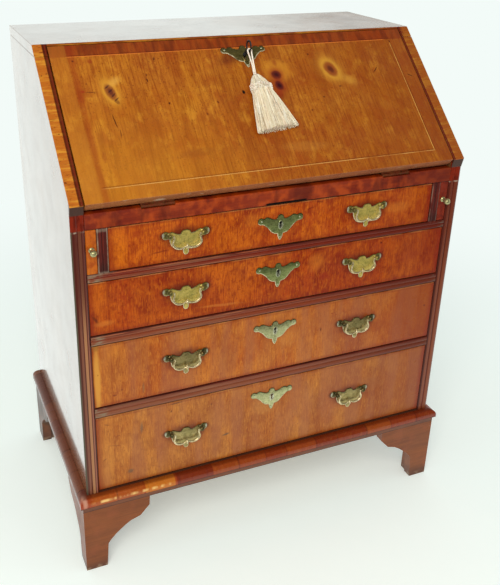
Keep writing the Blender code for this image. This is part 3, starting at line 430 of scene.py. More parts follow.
# Knots, cracks and small dark specks of the fall
FALL_MARKS = (
    *knot(-273.5, 217.3, 11.5, 22.5, 14, ("#d8962e", "#7a3218", "#5a241c")),
    (-277.5, 228.5, 8, 2.2, 38, "#34121a", 0.75, 0.7), (-273.5, 219.5, 8, 2.2, 38, "#34121a", 0.75, 0.7),
    (-270, 210, 8, 2.2, 38, "#34121a", 0.75, 0.7), (-266, 201, 8, 2.2, 38, "#34121a", 0.75, 0.7),
    (56, 238, 36, 32, 0, "#dc9428", 0.45, 0.5),
    *knot(52.7, 228, 12, 14, 0, ("#963c12", "#561616", "#340d14"), 0.9),
    *knot(51.3, 204.5, 10, 13, 10, ("#8f3410", "#561616", "#340d14"), 0.9),
    (44, 186, 14, 16, 0, "#8e1e08", 0.6, 0.8), (57, 256.5, 8, 10, 0, "#8a3410", 0.6, 0.8),
    (-30, 273, 34, 20, 24, "#54120c", 0.6, 0.8),
    *knot(172.3, 233.1, 16, 23, 24, ("#d2952e", "#822a10", "#521810")),
    (46.1, 176.3, 12, 20, 0, "#7a2c10", 0.5, 0.9), (-262, 238, 20, 12, 30, "#e2a84a", 0.5, 0.9),
    (205, 205, 30, 16, -35, "#cf9436", 0.4, 0.9),
    (-25.2, 196, 3.6, 6.2, 8, "#1c0d08", 1.0), (-178.9, 280.8, 2.6, 4.6, -20, "#57200c", 0.8),
    (-200.3, 247.3, 1.6, 4, 0, "#5a2410", 0.8), (-201.9, 235.8, 1.8, 6, 8, "#4d1b0c", 0.9),
    (-173.5, 183.6, 2.5, 3, 0, "#4a1c0c", 0.9), (-82.1, 179.4, 2.5, 3.5, 20, "#64280e", 0.8),
    (-108.4, 155.7, 2.8, 3.5, 0, "#64280e", 0.7), (-325.3, 285.9, 3, 3, 0, "#57200c", 0.8),
    (-295.8, 283.9, 6, 6, 30, "#8e3410", 0.6), (-321.5, 221.4, 5, 4, 0, "#96330e", 0.8),
    (-307, 219.5, 15, 1.1, -3, "#4d1b0c", 0.8), (-279.3, 157, 1.3, 19, 5, "#3c160a", 0.9),
    (-275.5, 131, 1.1, 13, -8, "#4d1b0c", 0.7), (-266, 196, 5, 9, 30, "#5a2814", 0.6),
    (135.2, 270.2, 2.6, 3, 0, "#4a1c0c", 0.8), (136.3, 171.7, 2.2, 2.5, 0, "#3c160a", 0.9),
    (331.6, 290, 3, 4, 0, "#57200c", 0.8), (179.4, 192.3, 3, 2.8, 0, "#57200c", 0.7),
    (100.2, 144.5, 2.4, 2.8, 0, "#57200c", 0.7), (272.4, 224.7, 1.4, 13, -44, "#40160a", 0.9),
    (346.1, 205.3, 9, 1.7, -28, "#40160a", 0.8), (-313, 90, 4, 15, 0, "#8b3c14", 0.4),
    (-150, 80, 50, 12, 4, "#8d4a16", 0.35), (60, 70, 60, 14, -3, "#d89a40", 0.14),
)
# Stains, dents and scratches of each drawer
DRAWER_MARKS = {
    1: (
        (-276.4, 700, 14, 10, 0, "#8e2c06", 0.55), (-244.4, 706, 50, 5, -4, "#8e2c06", 0.35),
        (-236.2, 660.9, 25, 2.2, -5, "#6a1c04", 0.6), (-175, 650, 30, 4, -3, "#8a2404", 0.45),
        (57.6, 703.4, 11, 1.4, -10, "#6a1c04", 0.7), (75.8, 712.9, 13, 1.2, 8, "#5a1804", 0.7),
        (28, 679.8, 6, 1.2, 30, "#7a2406", 0.5), (250, 680, 40, 16, 0, "#d8862a", 0.22),
        (300, 678.1, 12, 25, 0, "#8e2c06", 0.5), (-60, 695, 25, 20, 0, "#cf7c22", 0.2),
    ),
    2: (
        (-356.2, 550.5, 4, 13, -35, "#4a1606", 0.6), (-193.3, 601.5, 2.2, 2.2, 0, "#3a1206", 0.8),
        (221.5, 608.5, 4, 2.8, 0, "#5a0f06", 0.9), (348.2, 590.7, 3, 3, 0, "#7a2008", 0.7),
        (83.4, 615.9, 16, 3.2, 0, "#6a1606", 0.6), (96.8, 557.2, 20, 11, 0, "#8a2408", 0.6),
        (76.7, 590.4, 26, 25, 0, "#cf7820", 0.28), (-340, 540, 25, 8, 0, "#cc7426", 0.45),
        (-240, 560, 30, 10, 10, "#8a2c0a", 0.35), (130, 600, 12, 25, 0, "#8a2c0a", 0.4),
        (290, 570, 40, 20, 0, "#8e300c", 0.4), (-120, 535, 60, 4, 4, "#c8742c", 0.4),
    ),
    3: (
        (-272.8, 390, 3, 15, 0, "#6e5a3c", 0.45), (-327.4, 387.6, 5, 3, 0, "#6a2010", 0.6),
        (-313, 396, 3, 3, 0, "#6a2010", 0.6), (98.9, 438.2, 1.8, 5.5, 0, "#4a1a08", 0.8),
        (122.1, 470.1, 3, 2, 0, "#7a2408", 0.7), (132, 465, 2.6, 1.8, 0, "#7a2408", 0.6),
        (346.7, 445.3, 3, 3, 0, "#5a0f06", 0.8), (-358, 424, 8.5, 105, 0, "#d29038", 0.85),
        (-348, 430, 1.2, 100, 0, "#8a4620", 0.45), (-358.5, 493, 9, 8, 0, "#8a5a20", 0.5),
        (-357, 437, 2, 2.5, 0, "#a8641c", 0.8), (320.6, 378.7, 7, 2, 0, "#6a2810", 0.5),
        (230, 420, 50, 22, 0, "#8c3a10", 0.4), (30, 435, 30, 30, 0, "#c07a36", 0.35),
        (-100, 410, 20, 40, 0, "#8e4a20", 0.3),
    ),
    4: (
        (-302.5, 206.9, 7.5, 6.5, 0, "#5a4a38", 0.65), (-277.4, 301.9, 4, 17, 0, "#6a5a44", 0.5),
        (-102.1, 237.9, 11, 3.5, -8, "#4e4236", 0.75), (-218.4, 323.5, 2.2, 2.2, 0, "#3a1a10", 0.85),
        (-134.9, 318.9, 3, 4, 0, "#6a3014", 0.6), (-344.4, 325.8, 8, 1.6, 20, "#5a2410", 0.6),
        (-324.5, 295.3, 7, 1.3, 0, "#6a2c14", 0.6), (-351.6, 247.2, 7, 1.6, -30, "#6a2c14", 0.6),
        (-208.5, 339.5, 20, 2.2, 0, "#4a3020", 0.6), (-330, 275, 20, 2, 12, "#7a3c1a", 0.4),
        (-230, 230, 10, 50, 0, "#96562c", 0.35), (100, 260, 15, 50, 0, "#8a4a22", 0.35),
        (230, 280, 50, 25, 0, "#94542a", 0.35), (-20, 290, 40, 35, 0, "#c08240", 0.35),
    ),
}


def make_fall_look():
    """Old veneer under thin wax: gold and brown clouds, dark knots, crossbanding, a worn lower edge."""
    look = Finish(
        "waxed walnut veneer of the fall", "#ae5f14", 0.24, "slope", bend=0.006, gloss=0.22,
        coat_weight=0.05, coat_roughness=0.12,
    )
    grain(look, 1, "#7a2c04", "#cc8220", 0.9, 3)
    look.patches((
        ((0.045, 0.06, 0.06), 0.5, 0.66, 14, "#8e3208", 0.46, 4.0),
        ((0.016, 0.022, 0.022), 0.52, 0.68, 15, "#963c0c", 0.44, 4.0),
        ((0.02, 0.03, 0.03), 0.54, 0.7, 17, "#e09a2c", 0.34, 4.0),
        ((0.003, 0.05, 0.05), 0.52, 0.64, 18, "#7c3006", 0.5, 4.0),
        ((0.002, 0.022, 0.022), 0.54, 0.64, 19, "#8c4008", 0.45),
        ((0.003, 0.0034, 0.0034), 0.6, 0.68, 16, "#6e2a08", 0.6),
    ))
    # Browner towards the right, and yellower low down on the left
    look.lay(look.past(0, -0.12, 0.34), "#86400c", 0.38)
    look.lay((look.past(0, 0.05, -0.3), look.past(1, 0.26, 0.02)), "#d68f24", 0.35)
    # The crossbanded borders and the pale strings along them
    top = look.past(1, 0.2945, 0.2965)
    look.lay(top, "#862c0a", 0.72)
    look.lay((top, look.cloud((0.012, 0.05, 0.05), 0.45, 0.62, 31)), "#4f1d0c", 0.5)
    for low, high, soft, colour, amount in (
        (-0.3335, -0.3225, 0.004, "#8f2f0c", 0.45), (-0.364, -0.3345, 0.001, "#b87022", 0.35),
        (0.3325, 0.364, 0.001, "#8a3c12", 0.4),
    ):
        look.lay(look.band(0, low, high, soft), colour, amount)
    for axis, place, colour, other, low, high in (
        (1, 0.2952, "#e07a2c", 0, -0.335, 0.32), (0, 0.3302, "#e0a852", 1, 0.032, 0.285),
        (1, 0.031, "#d9a25a", 0, -0.33, 0.33),
    ):
        along = look.band(other, low, high, 0.004)
        line = look.band(axis, place - 0.0006, place + 0.0006, 0.0004)
        shade = look.band(axis, place + 0.0012, place + 0.003, 0.0008)
        look.lay((line, along, look.cloud(0.05, 0.3, 0.5, 40)), colour, 0.85)
        look.lay((shade, along), "#4a1606", 0.4)
    look.marks(FALL_MARKS, FALL_THICKNESS, 2, 0.6)
    # The lower edge: worn, greyish, with pale chips and a painted highlight near its left end
    edge = look.past(1, 0.007, 0.0048)
    look.lay(edge, "#9a6248", 0.97)
    look.lay((edge, look.cloud((0.06, 0.01, 0.01), 0.46, 0.66, 50)), "#6a3a2a", 0.6)
    look.lay((edge, look.cloud((0.016, 0.006, 0.006), 0.66, 0.7, 51)), "#b9a48c", 0.7)
    # Painted highlight near the left end of the edge
    look.lay((edge, look.spot((-0.235, 0.004, 0.007), (0.014, 0.01, 0.005), 0, 0.6)), "#c9b49a", 0.8)
    # The inside of the fall is plain
    inside = look.both(look.past(2, 0.004, 0.002), look.past(1, 0.014, 0.018))
    look.lay(inside, "#96602e", 0.92)
    look.lay((inside, look.cloud((0.3, 0.012, 0.012), 0.42, 0.64, 52)), "#6e421e", 0.55)
    look.lay((inside, look.cloud((0.1, 0.003, 0.003), 0.46, 0.66, 53)), "#b07a40", 0.4)
    return look.done()


def make_drawer_look(number, colour, dark, light, seed):
    """Veneer with upright figure under thin wax, red towards its edges, dirt and painted shade round its
    fittings.
    """
    low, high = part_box(f"drawer_{number}_front")
    look = Finish(
        f"waxed walnut veneer of drawer {number}", colour, 0.27, bend=0.004, gloss=0.2,
        coat_weight=0.03, coat_roughness=0.12,
    )
    grain(look, 2, dark, light, 0.55, seed)
    # Broad patches, red mottling, and short upright lines of figure
    calm = 1.0 if number < 3 else 0.45
    look.patches((
        ((0.055, 0.05, 0.12), 0.45, 0.62, seed + 9, light, 0.36),
        ((0.06, 0.05, 0.1), 0.5, 0.66, seed + 10, dark, 0.42),
        ((0.018, 0.05, 0.022), 0.49, 0.64, seed + 11, dark, 0.5 * calm, 4.0),
        ((0.014, 0.05, 0.018), 0.54, 0.7, seed + 12, light, 0.34 * calm, 4.0),
        ((0.007, 0.05, 0.007), 0.58, 0.7, seed + 16, dark, 0.45 * calm, 4.0),
        ((0.0026, 0.05, 0.026), 0.48, 0.64, seed + 8, dark, 0.25 + 0.25 * calm),
        ((0.0018, 0.05, 0.012), 0.54, 0.66, seed + 14, light, 0.4),
        ((0.003, 0.05, 0.004), 0.6, 0.7, seed + 15, dark, 0.45),
    ))
    look.lay(look.past(0, 0.04, 0.34), dark, 0.36)
    if number > 2:
        look.lay(look.cloud((0.04, 0.05, 0.3), 0.46, 0.6, seed + 17, 2.0), "#9a5a3a", 0.45)
        look.lay(look.past(0, 0.2, 0.33), "#8e3a06", 0.5 if number == 3 else 0.15)
    # Crossbanded ends, redder edges
    for start, way, tone in ((low.x, 1, light), (high.x, -1, dark)):
        end = start + 0.034 * way
        look.lay(look.past(0, end, end - 0.002 * way), tone, 0.12)
        look.lay(look.band(0, end - 0.002, end + 0.002, 0.0025), dark, 0.22)
        look.lay(look.past(0, start + 0.016 * way, start + 0.001 * way), "#7a1404", 0.62)
    look.lay(look.past(2, high.z - 0.007, high.z - 0.002), "#7a2a0a", 0.35)
    look.lay(look.past(2, low.z + 0.01, low.z + 0.001), "#7a220a", 0.5)
    upper_edge = look.past(2, high.z - 0.0016, high.z - 0.0008)
    look.lay((upper_edge, look.cloud(0.05, 0.44, 0.6, seed + 13)), "#d8985c", 0.4)
    # Old wax and dirt round the fittings, a painted shadow close round each plate, and painted shade in the
    # keyhole
    middle = (low.z + high.z) / 2 + HANDLE_RISE
    keyhole = high.z - ESCUTCHEON_DROP
    dirt_and_shade = []
    for x in (FITTING_SHIFT - HANDLE_X, FITTING_SHIFT + HANDLE_X):
        dirt_and_shade += [
            (x, middle - 0.01, 0.07, 0.04, 0.9, "#8c260a", 0.42),
            # Dirt and a painted shadow close round the plate
            (x, middle - 0.008, 0.052, 0.028, 0.6, "#421006", 0.7),
            (x - 0.04, middle, 0.013, 0.011, 0.7, "#30100c", 0.7),
            (x + 0.04, middle, 0.013, 0.011, 0.7, "#30100c", 0.7),
        ]
    dirt_and_shade += [
        (FITTING_SHIFT, keyhole - 0.01, 0.056, 0.034, 0.8, "#7a260c", 0.42),
        # Painted shade inside the keyhole
        (FITTING_SHIFT, keyhole - 0.011, 0.0055, 0.01, 0.2, "#050302", 1.0),
    ]
    for x, z, wide, tall, soft, stain_and_shade, amount in dirt_and_shade:
        look.lay(look.spot((x, DRAWER_FACE, z), (wide, 1, tall), 0, soft, 1), stain_and_shade, amount)
    look.marks(DRAWER_MARKS[number], DRAWER_FACE, 1, 0.7)
    # The end grain and the back of the front
    look.lay(look.past(1, -0.2215, -0.2195), "#7a4a24", 0.8)
    return look.done()


def beads(look, mask, run, seed):
    """Dark plum beads, rubbed and given a painted highlight along their crests, most of all low down."""
    low = look.past(2, 0.66, 0.22)
    look.lay(mask, "#420f07")
    look.lay((mask, look.cloud(long(run, 0.0035, 0.12), 0.44, 0.62, seed)), "#701808", 0.6)
    # Lighter along the crests: wear and a painted highlight, stronger low down
    crest = look.both(mask, look.past(1, FRONT_Y + 0.001, FRONT_Y + 0.0002))
    look.lay(crest, "#7c3320", 0.35)
    look.lay((crest, low), "#985a3e", 0.55)
    look.lay((mask, look.cloud(long(run, 0.0022, 0.06), 0.56, 0.68, seed + 1)), "#1c0705", 0.6)
    look.dull(mask, 0.14)


def make_side_look(name, strip_colour="#b4621a", strip_light="#dc9830", right=1.0):
    """A waxed board that mirrors the room at a low angle, its beaded edge, and the strip by the fall."""
    look = Finish(name, "#80502c", 0.18, bend=0.005, gloss=0.25, coat_weight=1.0, coat_roughness=0.07)
    grain(look, 2, "#5c3418", "#a06a3a", 0.9, 70)
    # Painted reflection of the base moulding, reddish low down on the boards
    look.lay(look.past(2, 0.24, 0.17), "#8e4c38", 0.25)
    bead_top = WRITING_Z - 0.028
    face = look.past(1, FRONT_Y + 0.0034, FRONT_Y + 0.0026)
    below = look.both(face, look.past(2, bead_top + 0.0005, bead_top - 0.0005))
    beads(look, below, 2, 76)
    top = look.both(face, look.past(2, bead_top - 0.0005, bead_top + 0.0005))
    look.lay(top, "#7a1c08", 0.95)
    look.lay((top, look.cloud((0.008, 0.02, 0.02), 0.46, 0.62, 79)), "#4c1006", 0.7)
    # Each stripe of the two edges: from and to across, colour, amount
    for low, high, colour, amount in (
        (-0.391, -0.3872, "#4e4a38", 0.9), (-0.3872, -0.3838, "#43190f", 0.8),
        (-0.3838, -0.3792, "#7e4c36", 0.75), (-0.3775, -0.3726, "#a8744c", 0.85),
        (-0.3722, -0.3708, "#4a1c10", 0.8), (-0.3706, -0.369, "#9c6450", 0.75),
        (0.365, 0.3695, "#42170c", 0.8), (0.37, 0.3775, "#7a3a1c", 0.75),
        (0.379, 0.3895, "#7e3e20", 0.7),
    ):
        look.lay((below, look.band(0, low, high, 0.0006)), colour, amount)
    upper = look.both(below, look.past(2, 0.5, 0.63))
    look.lay((upper, look.band(0, -0.388, -0.369, 0.001)), "#50190f", 0.8)
    look.lay((upper, look.past(0, 0.0, 0.1)), "#5c1c0c", 0.45)
    worn = look.both(face, look.band(2, bead_top - 0.003, bead_top - 0.0005, 0.0008))
    look.lay((worn, look.cloud((0.008, 0.02, 0.02), 0.42, 0.58, 78)), "#b09c88", 0.7)
    foremost = look.past(1, FRONT_Y + 0.0005, FRONT_Y - 0.0003)
    look.lay((foremost, look.past(2, WRITING_Z - 0.001, WRITING_Z + 0.001)), "#3c2418", 0.95)
    # The strip beside the fall, with its dark rebate and short cross lines
    out = look.add("ShaderNodeSeparateXYZ", {0: look.from_slope()}).outputs["Z"]
    raised = look.add("ShaderNodeMapRange", {"Value": out, "From Min": 0.018, "From Max": 0.0192})
    strip = look.both(raised, look.past(2, WRITING_Z - 0.002, WRITING_Z + 0.002))
    inner = look.both(strip, look.band(0, -0.3735, 0.3735, 0.001))
    look.lay(strip, "#b4621a").lay(inner, strip_colour)
    streaks = look.cloud((0.05, 0.006, 0.006), 0.46, 0.64, 80)
    look.lay((strip, streaks), "#dc9830", 0.6).lay((inner, streaks), strip_light, 0.6)
    look.lay((strip, look.cloud((0.008, 0.0016, 0.0016), 0.6, 0.68, 81)), "#5a220c", 0.8)
    look.lay((strip, look.past(0, 0.2, 0.3)), "#7c3410", 0.55)
    for low, high in ((-0.3735, -0.364), (0.364, 0.3695)):
        middle = (low + high) / 2
        look.lay((strip, look.band(0, low, high, 0.0008)), "#4c0f06", 0.92)
        look.lay((strip, look.band(0, middle - 0.001, middle + 0.001, 0.0008)), "#7c2a16", 0.6)
    shown = look.add("ShaderNodeMath", {0: face, 1: strip}, operation="MAXIMUM")
    bright = look.add("ShaderNodeMapRange", {
        "Value": look.axes[0], "From Min": 0.0, "From Max": 0.3, "To Min": 1.0, "To Max": right,
    })
    mirror = look.add("ShaderNodeMapRange", {"Value": shown, "To Min": bright, "To Max": 0.04})
    look.tree.links.new(mirror.outputs[0], look.shader.inputs["Coat Weight"])
    return look


def make_top_look():
    """As the sides, with a deeper coat, duller to the right."""
    look = make_side_look("waxed walnut of the top board", "#86400f", "#a8601c", 0.15)
    look.shader.inputs["Coat IOR"].default_value = 1.6
    return look.done()


def make_rail_look():
    """Beads polished nearly black, brown along the middle of each rail, with painted highlights along its
    edges and painted shade along its lower edge.
    """
    look = Finish(
        "dark polished beads of the rails", "#3a0d07", 0.24, bend=0.002, gloss=0.22, coat_weight=0.03,
    )
    beads(look, look.past(2, 0.0, 0.1), 0, 90)
    rail_top = 0.638
    rails = look.past(2, rail_top + 0.0005, rail_top - 0.0005)
    for number, broad, edge, bright in (
        (1, "#78240e", "#b05c38", 0.7), (2, "#84391c", "#b06440", 0.7), (3, "#84442a", "#7a4630", 0.3),
    ):
        low, high = (corner.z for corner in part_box(f"drawer_rail_{number}"))
        high = min(high, rail_top - 0.0005)
        middle, half = (low + high) / 2, (high - low) / 2
        look.lay((rails, look.band(2, middle - 0.42 * half, middle + 0.42 * half, 0.0012)), broad, 0.85)
        # Painted highlights along the upper and lower edges of each rail
        for at, line in ((middle + 0.74 * half, bright), (middle - 0.66 * half, 0.8 * bright)):
            lit = look.band(2, at - 0.0008, at + 0.0008, 0.0005)
            gaps = look.cloud((0.06, 0.02, 0.02), 0.36, 0.54, 95)
            look.lay((rails, lit, look.past(0, 0.2, -0.16), gaps), edge, line)
        # Painted shade along the lower edge of each rail
        look.lay((rails, look.band(2, low - 0.001, low + 0.16 * half, 0.0008)), "#3c120a", 0.8)
    look.lay((rails, look.past(0, 0.02, 0.34)), "#54180a", 0.6)
    # Uprights beside the top drawer: dark in the middle, with painted highlights along their edges
    upright = look.past(2, rail_top + 0.0005, rail_top + 0.0015)
    look.lay(upright, "#4a1610", 0.92)
    look.lay((upright, look.cloud((0.003, 0.02, 0.05), 0.48, 0.62, 96)), "#6e241a", 0.7)
    look.lay((upright, look.past(2, 0.665, 0.645)), "#2a1c18", 0.5)
    for x, amount in ((-0.3452, 0.75), (-0.3288, 0.75), (0.3288, 0.35), (0.3452, 0.45)):
        lit = look.band(0, x - 0.0009, x + 0.0009, 0.0005)
        look.lay((upright, lit, look.cloud((0.02, 0.02, 0.03), 0.36, 0.54, 97)), "#a48a74", amount)
    # Worn crests and ends
    crest = look.past(1, FRONT_Y + 0.0016, FRONT_Y + 0.0002)
    rubbed = look.cloud((0.1, 0.02, 0.006), 0.4, 0.56, 91)
    look.lay((rails, crest, look.past(0, 0.02, -0.16), rubbed), "#8a5c40", 0.4)
    for low, high, colour in ((-0.374, -0.342, "#85765f"), (0.354, 0.374, "#5e4638")):
        worn = look.cloud((0.012, 0.02, 0.004), 0.4, 0.58, 92)
        look.lay((rails, look.band(0, low, high, 0.006), worn, crest), colour, 0.75)
    for low, high in ((0.6365, 0.6405), (0.714, 0.72)):
        look.lay((look.band(2, low, high, 0.002), look.past(0, -0.31, -0.33)), "#8a7a68", 0.45)
    # The dust boards behind the rails are plain
    behind = look.past(1, FRONT_Y + 0.003, FRONT_Y + 0.005)
    look.lay(behind, "#6a4526")
    look.lay((behind, look.cloud((0.2, 0.012, 0.012), 0.42, 0.62, 94)), "#8f673c", 0.6)
    return look.done()


def make_writing_look():
    """Deep red board with blotches along its front edge, plain behind it."""
    look = Finish(
        "deep red walnut of the writing board", "#7c2208", 0.28, bend=0.004,
        coat_weight=0.03, coat_roughness=0.12,
    )
    grain(look, 0, "#4e120a", "#b4440c", 0.8, 100)
    look.lay(look.cloud((0.022, 0.05, 0.02), 0.44, 0.6, 108, 4.0), "#b0440a", 0.65)
    look.lay(look.cloud((0.03, 0.05, 0.1), 0.5, 0.64, 109), "#4a100a", 0.65)
    # Painted shade along the lower edge of the front, and black painted shade in the gap over the top drawer
    look.lay(look.past(2, 0.7225, 0.7205), "#3c0c06", 0.7)
    look.lay(look.past(0, 0.12, 0.36), "#54120a", 0.6)
    look.lay((look.band(0, 0.02, 0.31, 0.01), look.past(2, 0.7222, 0.7212)), "#1c0805", 0.8)
    look.lay((look.band(0, -0.036, 0.046, 0.003), look.past(2, 0.7252, 0.724)), "#0c0503")
    behind = look.past(1, FRONT_Y + 0.016, FRONT_Y + 0.019)
    look.lay(behind, "#96602e", 0.85)
    look.lay((behind, look.cloud((0.16, 0.02, 0.02), 0.42, 0.64, 111)), "#6a3a1c", 0.5)
    return look.done()


def make_base_look():
    """Short cross-grained lengths glued on along the moulding, with a darker flat face below them."""
    look = Finish(
        "cross-grained walnut of the base moulding", "#a23c0a", 0.22, bend=0.003,
        coat_weight=0.1, coat_roughness=0.08,
    )
    # How far along the moulding, round its corners, and the tone of each length
    outward = look.add("ShaderNodeMath", {0: look.axes[0]}, operation="ABSOLUTE")
    side = look.add("ShaderNodeMath", {0: outward, 1: -HALF_WIDTH}, operation="ADD")
    front = look.add("ShaderNodeMath", {0: FRONT_Y, 1: look.axes[1]}, operation="SUBTRACT")
    on_front = look.add("ShaderNodeMath", {0: front, 1: side}, operation="GREATER_THAN")
    along = look.add("ShaderNodeMix", {
        "Factor": on_front, "A": look.axes[1], "B": look.axes[0],
    }, data_type="FLOAT")
    uneven = look.add("ShaderNodeTexNoise", {"W": along, "Scale": 9.0, "Detail": 0.0}, noise_dimensions="1D")
    moved = look.add("ShaderNodeMath", {0: uneven, 1: 0.05, 2: along}, operation="MULTIPLY_ADD")
    count = look.add("ShaderNodeMath", {0: moved, 1: 0.062}, operation="DIVIDE")
    length = look.add("ShaderNodeMath", {0: count}, operation="FLOOR")
    tone = look.add("ShaderNodeTexWhiteNoise", {"W": length}, noise_dimensions="1D").outputs["Value"]
    inside = look.add("ShaderNodeMath", {0: count}, operation="FRACT")
    for end, colour, amount in ((1.0, "#6a1c04", 0.62), (0.0, "#c06412", 0.5)):
        toned = look.add("ShaderNodeMapRange", {"Value": tone, "From Min": 0.35, "From Max": end})
        look.lay(toned, colour, amount)
    look.lay(look.cloud((0.006, 0.006, 0.05), 0.46, 0.68, 120), "#7a2c0c", 0.28)
    look.lay(look.cloud((0.004, 0.004, 0.03), 0.5, 0.7, 121), "#e09a3a", 0.14)
    joint = look.add("ShaderNodeMapRange", {"Value": inside, "From Min": 0.045, "From Max": 0.0})
    look.lay(joint, "#2c0d06", 0.85)
    # The left side, the light and dark lengths near the left corner, and a painted highlight on its crest
    on_left = (look.past(0, -0.2, -0.39), look.past(1, FRONT_Y - 0.012, FRONT_Y + 0.004))
    look.lay(on_left, "#4e3024", 0.72)
    facing = look.past(1, FRONT_Y + 0.002, FRONT_Y - 0.002)
    look.lay((facing, look.past(0, -0.3, -0.1)), "#6e2408", 0.55)
    for low, high, soft, colour, amount in (
        (-0.278, -0.217, 0.001, "#cc7a1c", 0.6), (-0.213, -0.136, 0.001, "#6a1804", 0.75),
        (-0.385, -0.28, 0.006, "#b05e16", 0.4),
    ):
        look.lay((facing, look.band(0, low, high, soft)), colour, amount)
    # A painted highlight along the crest near the left corner
    gleam = look.both(facing, look.band(0, -0.38, -0.225, 0.01), look.band(2, 0.164, 0.169, 0.0015))
    look.lay((gleam, look.cloud((0.014, 0.05, 0.05), 0.4, 0.6, 127)), "#ffd884", 0.66)
    look.lay(look.spot((-0.398, FRONT_Y - 0.01, 0.17), (0.007, 0.02, 0.02), 0, 0.8), "#d8a890", 0.6)
    # The flat face below, its two edges, and the ledge on top
    flat = look.past(2, 0.159, 0.1575)
    look.lay(flat, "#754022", 0.97)
    look.lay((flat, look.cloud((0.05, 0.05, 0.004), 0.46, 0.66, 122)), "#4e2a1c", 0.5)
    look.lay(look.band(2, 0.1583, 0.1597, 0.0004), "#2c0f08", 0.75)
    look.lay(look.past(2, 0.1478, 0.1466), "#3a1c12", 0.8)
    look.lay((look.past(2, 0.1735, 0.1755), look.past(1, -0.2, -0.21)), "#54190a", 0.6)
    look.dull(look.cloud(0.03, 0.35, 0.7, 124), 0.12).dull(flat, 0.12)
    look.lift(look.cloud((0.003, 0.003, 0.02), 0.4, 0.65, 125), -0.00003).lift(joint, -0.0002)
    return look.done()


def make_foot_look(name, colour, dark, light):
    """Worn wood, dark and scuffed towards the floor."""
    look = Finish(name, colour, 0.36, bend=0.004, gloss=0.22, coat_weight=0.05)
    grain(look, 0, dark, light, 0.8, 130)
    look.lay(look.cloud(0.03, 0.5, 0.66, 138), "#8f4a26", 0.4)
    look.lay(look.past(2, 0.03, 0.0), "#3a2218", 0.6)
    look.lay((look.past(2, 0.012, 0.004), look.cloud(0.012, 0.5, 0.6, 139)), "#a08468", 0.5)
    return look.done()


def make_oak_look(name="plain oak of the drawer linings", run=1, seed=150):
    """Unpolished oak: dull, with open grain."""
    look = Finish(name, "#9c7a50", 0.55, bend=0.003)
    grain(look, run, "#6e4e2e", "#bc9a6a", 0.9, seed)
    look.lay(look.cloud(long(run, 0.01, 0.3), 0.52, 0.7, seed + 8), "#5c4028", 0.35)
    return look


def make_lining_look():
    """Oak whose front edge is dark where it shows under the lowest drawer."""
    look = make_oak_look()
    look.lay(look.past(1, -0.22, -0.2215), "#3c140a", 0.93)
    return look.done()


def make_back_look():
    """Upright boards, butted and nailed, dark with age."""
    look = make_oak_look("old oak of the back boards", 2, 160)
    look.lay(look.cloud((0.12, 0.12, 0.35), 0.44, 0.62, 169), "#54402c", 0.45)
    look.lay(look.past(2, 0.4, 0.17), "#4a3624", 0.35)
    for x, tone in ((-0.232, "#a5835a"), (-0.078, "#7c5e3e"), (0.085, "#a5835a"), (0.226, "#7c5e3e")):
        look.lay(look.past(0, x - 0.0005, x + 0.0005), tone, 0.22)
        joint = look.band(0, x - 0.0011, x + 0.0011, 0.0005)
        look.lay(joint, "#1c120b", 0.9).lift(joint, -0.0008)
        for z in (0.215, 0.93):
            for way in (-0.022, 0.022):
                nail = (x + way, 0.0, z)
                look.lay(look.spot(nail, (0.0055, 1, 0.0075), 0, 0.8, 1), "#2c2018", 0.6)
                look.lay(look.spot(nail, (0.0026, 1, 0.0026), 0, 0.2, 1), "#141210", 0.9)
    return look.done()


def make_nest_look(name, front, seed):
    """Thin oak boards whose front edges are faced with walnut."""
    look = make_oak_look(name, 2, seed)
    faced = look.past(1, front + 0.0035, front + 0.0025)
    look.lay(faced, "#8e4a18", 0.95)
    look.lay((faced, look.cloud((0.02, 0.02, 0.012), 0.46, 0.62, seed + 9)), "#5e2408", 0.6)
    look.lay((faced, look.cloud((0.0026, 0.05, 0.026), 0.48, 0.64, seed + 10)), "#a8661e", 0.4)
    return look.done()


def make_loper_look(name, colour, dark, light, seed):
    """Polished end of a slide, mottled, plain behind its face."""
    look = Finish(name, colour, 0.24, bend=0.003, coat_weight=0.25)
    grain(look, 2, dark, light, 0.7, seed)
    look.lay(look.cloud((0.01, 0.05, 0.014), 0.48, 0.62, seed + 8, 4.0), dark, 0.55)
    look.lay(look.past(1, -0.2225, -0.2205), "#8a6238", 0.85)
    return look.done()


def make_brass_look(name, colour, dull, seed, pale="#e6d2a4", metallic=0.85):
    """Old brass: olive in the middle, dark and brown in hollows, rubbed pale in fine lines, softly uneven."""
    look = Finish(name, colour, 0.3, "piece", bend=0.0012, metallic=metallic)
    look.patches((
        (0.012, 0.42, 0.66, seed, dull, 0.55), (0.004, 0.52, 0.7, seed + 1, "#4e4a20", 0.45),
        (0.0012, 0.58, 0.68, seed + 2, "#2c2a14", 0.45),
        ((0.02, 0.0008, 0.0008), 0.58, 0.66, seed + 3, pale, 0.2),
    ))
    look.dull(look.cloud(0.006, 0.35, 0.7, seed + 4), 0.22)
    look.lift(look.cloud(0.0025, 0.35, 0.65, seed + 5), 0.00006)
    look.lift(look.cloud(0.0006, 0.4, 0.65, seed + 6), 0.00002)
    return look


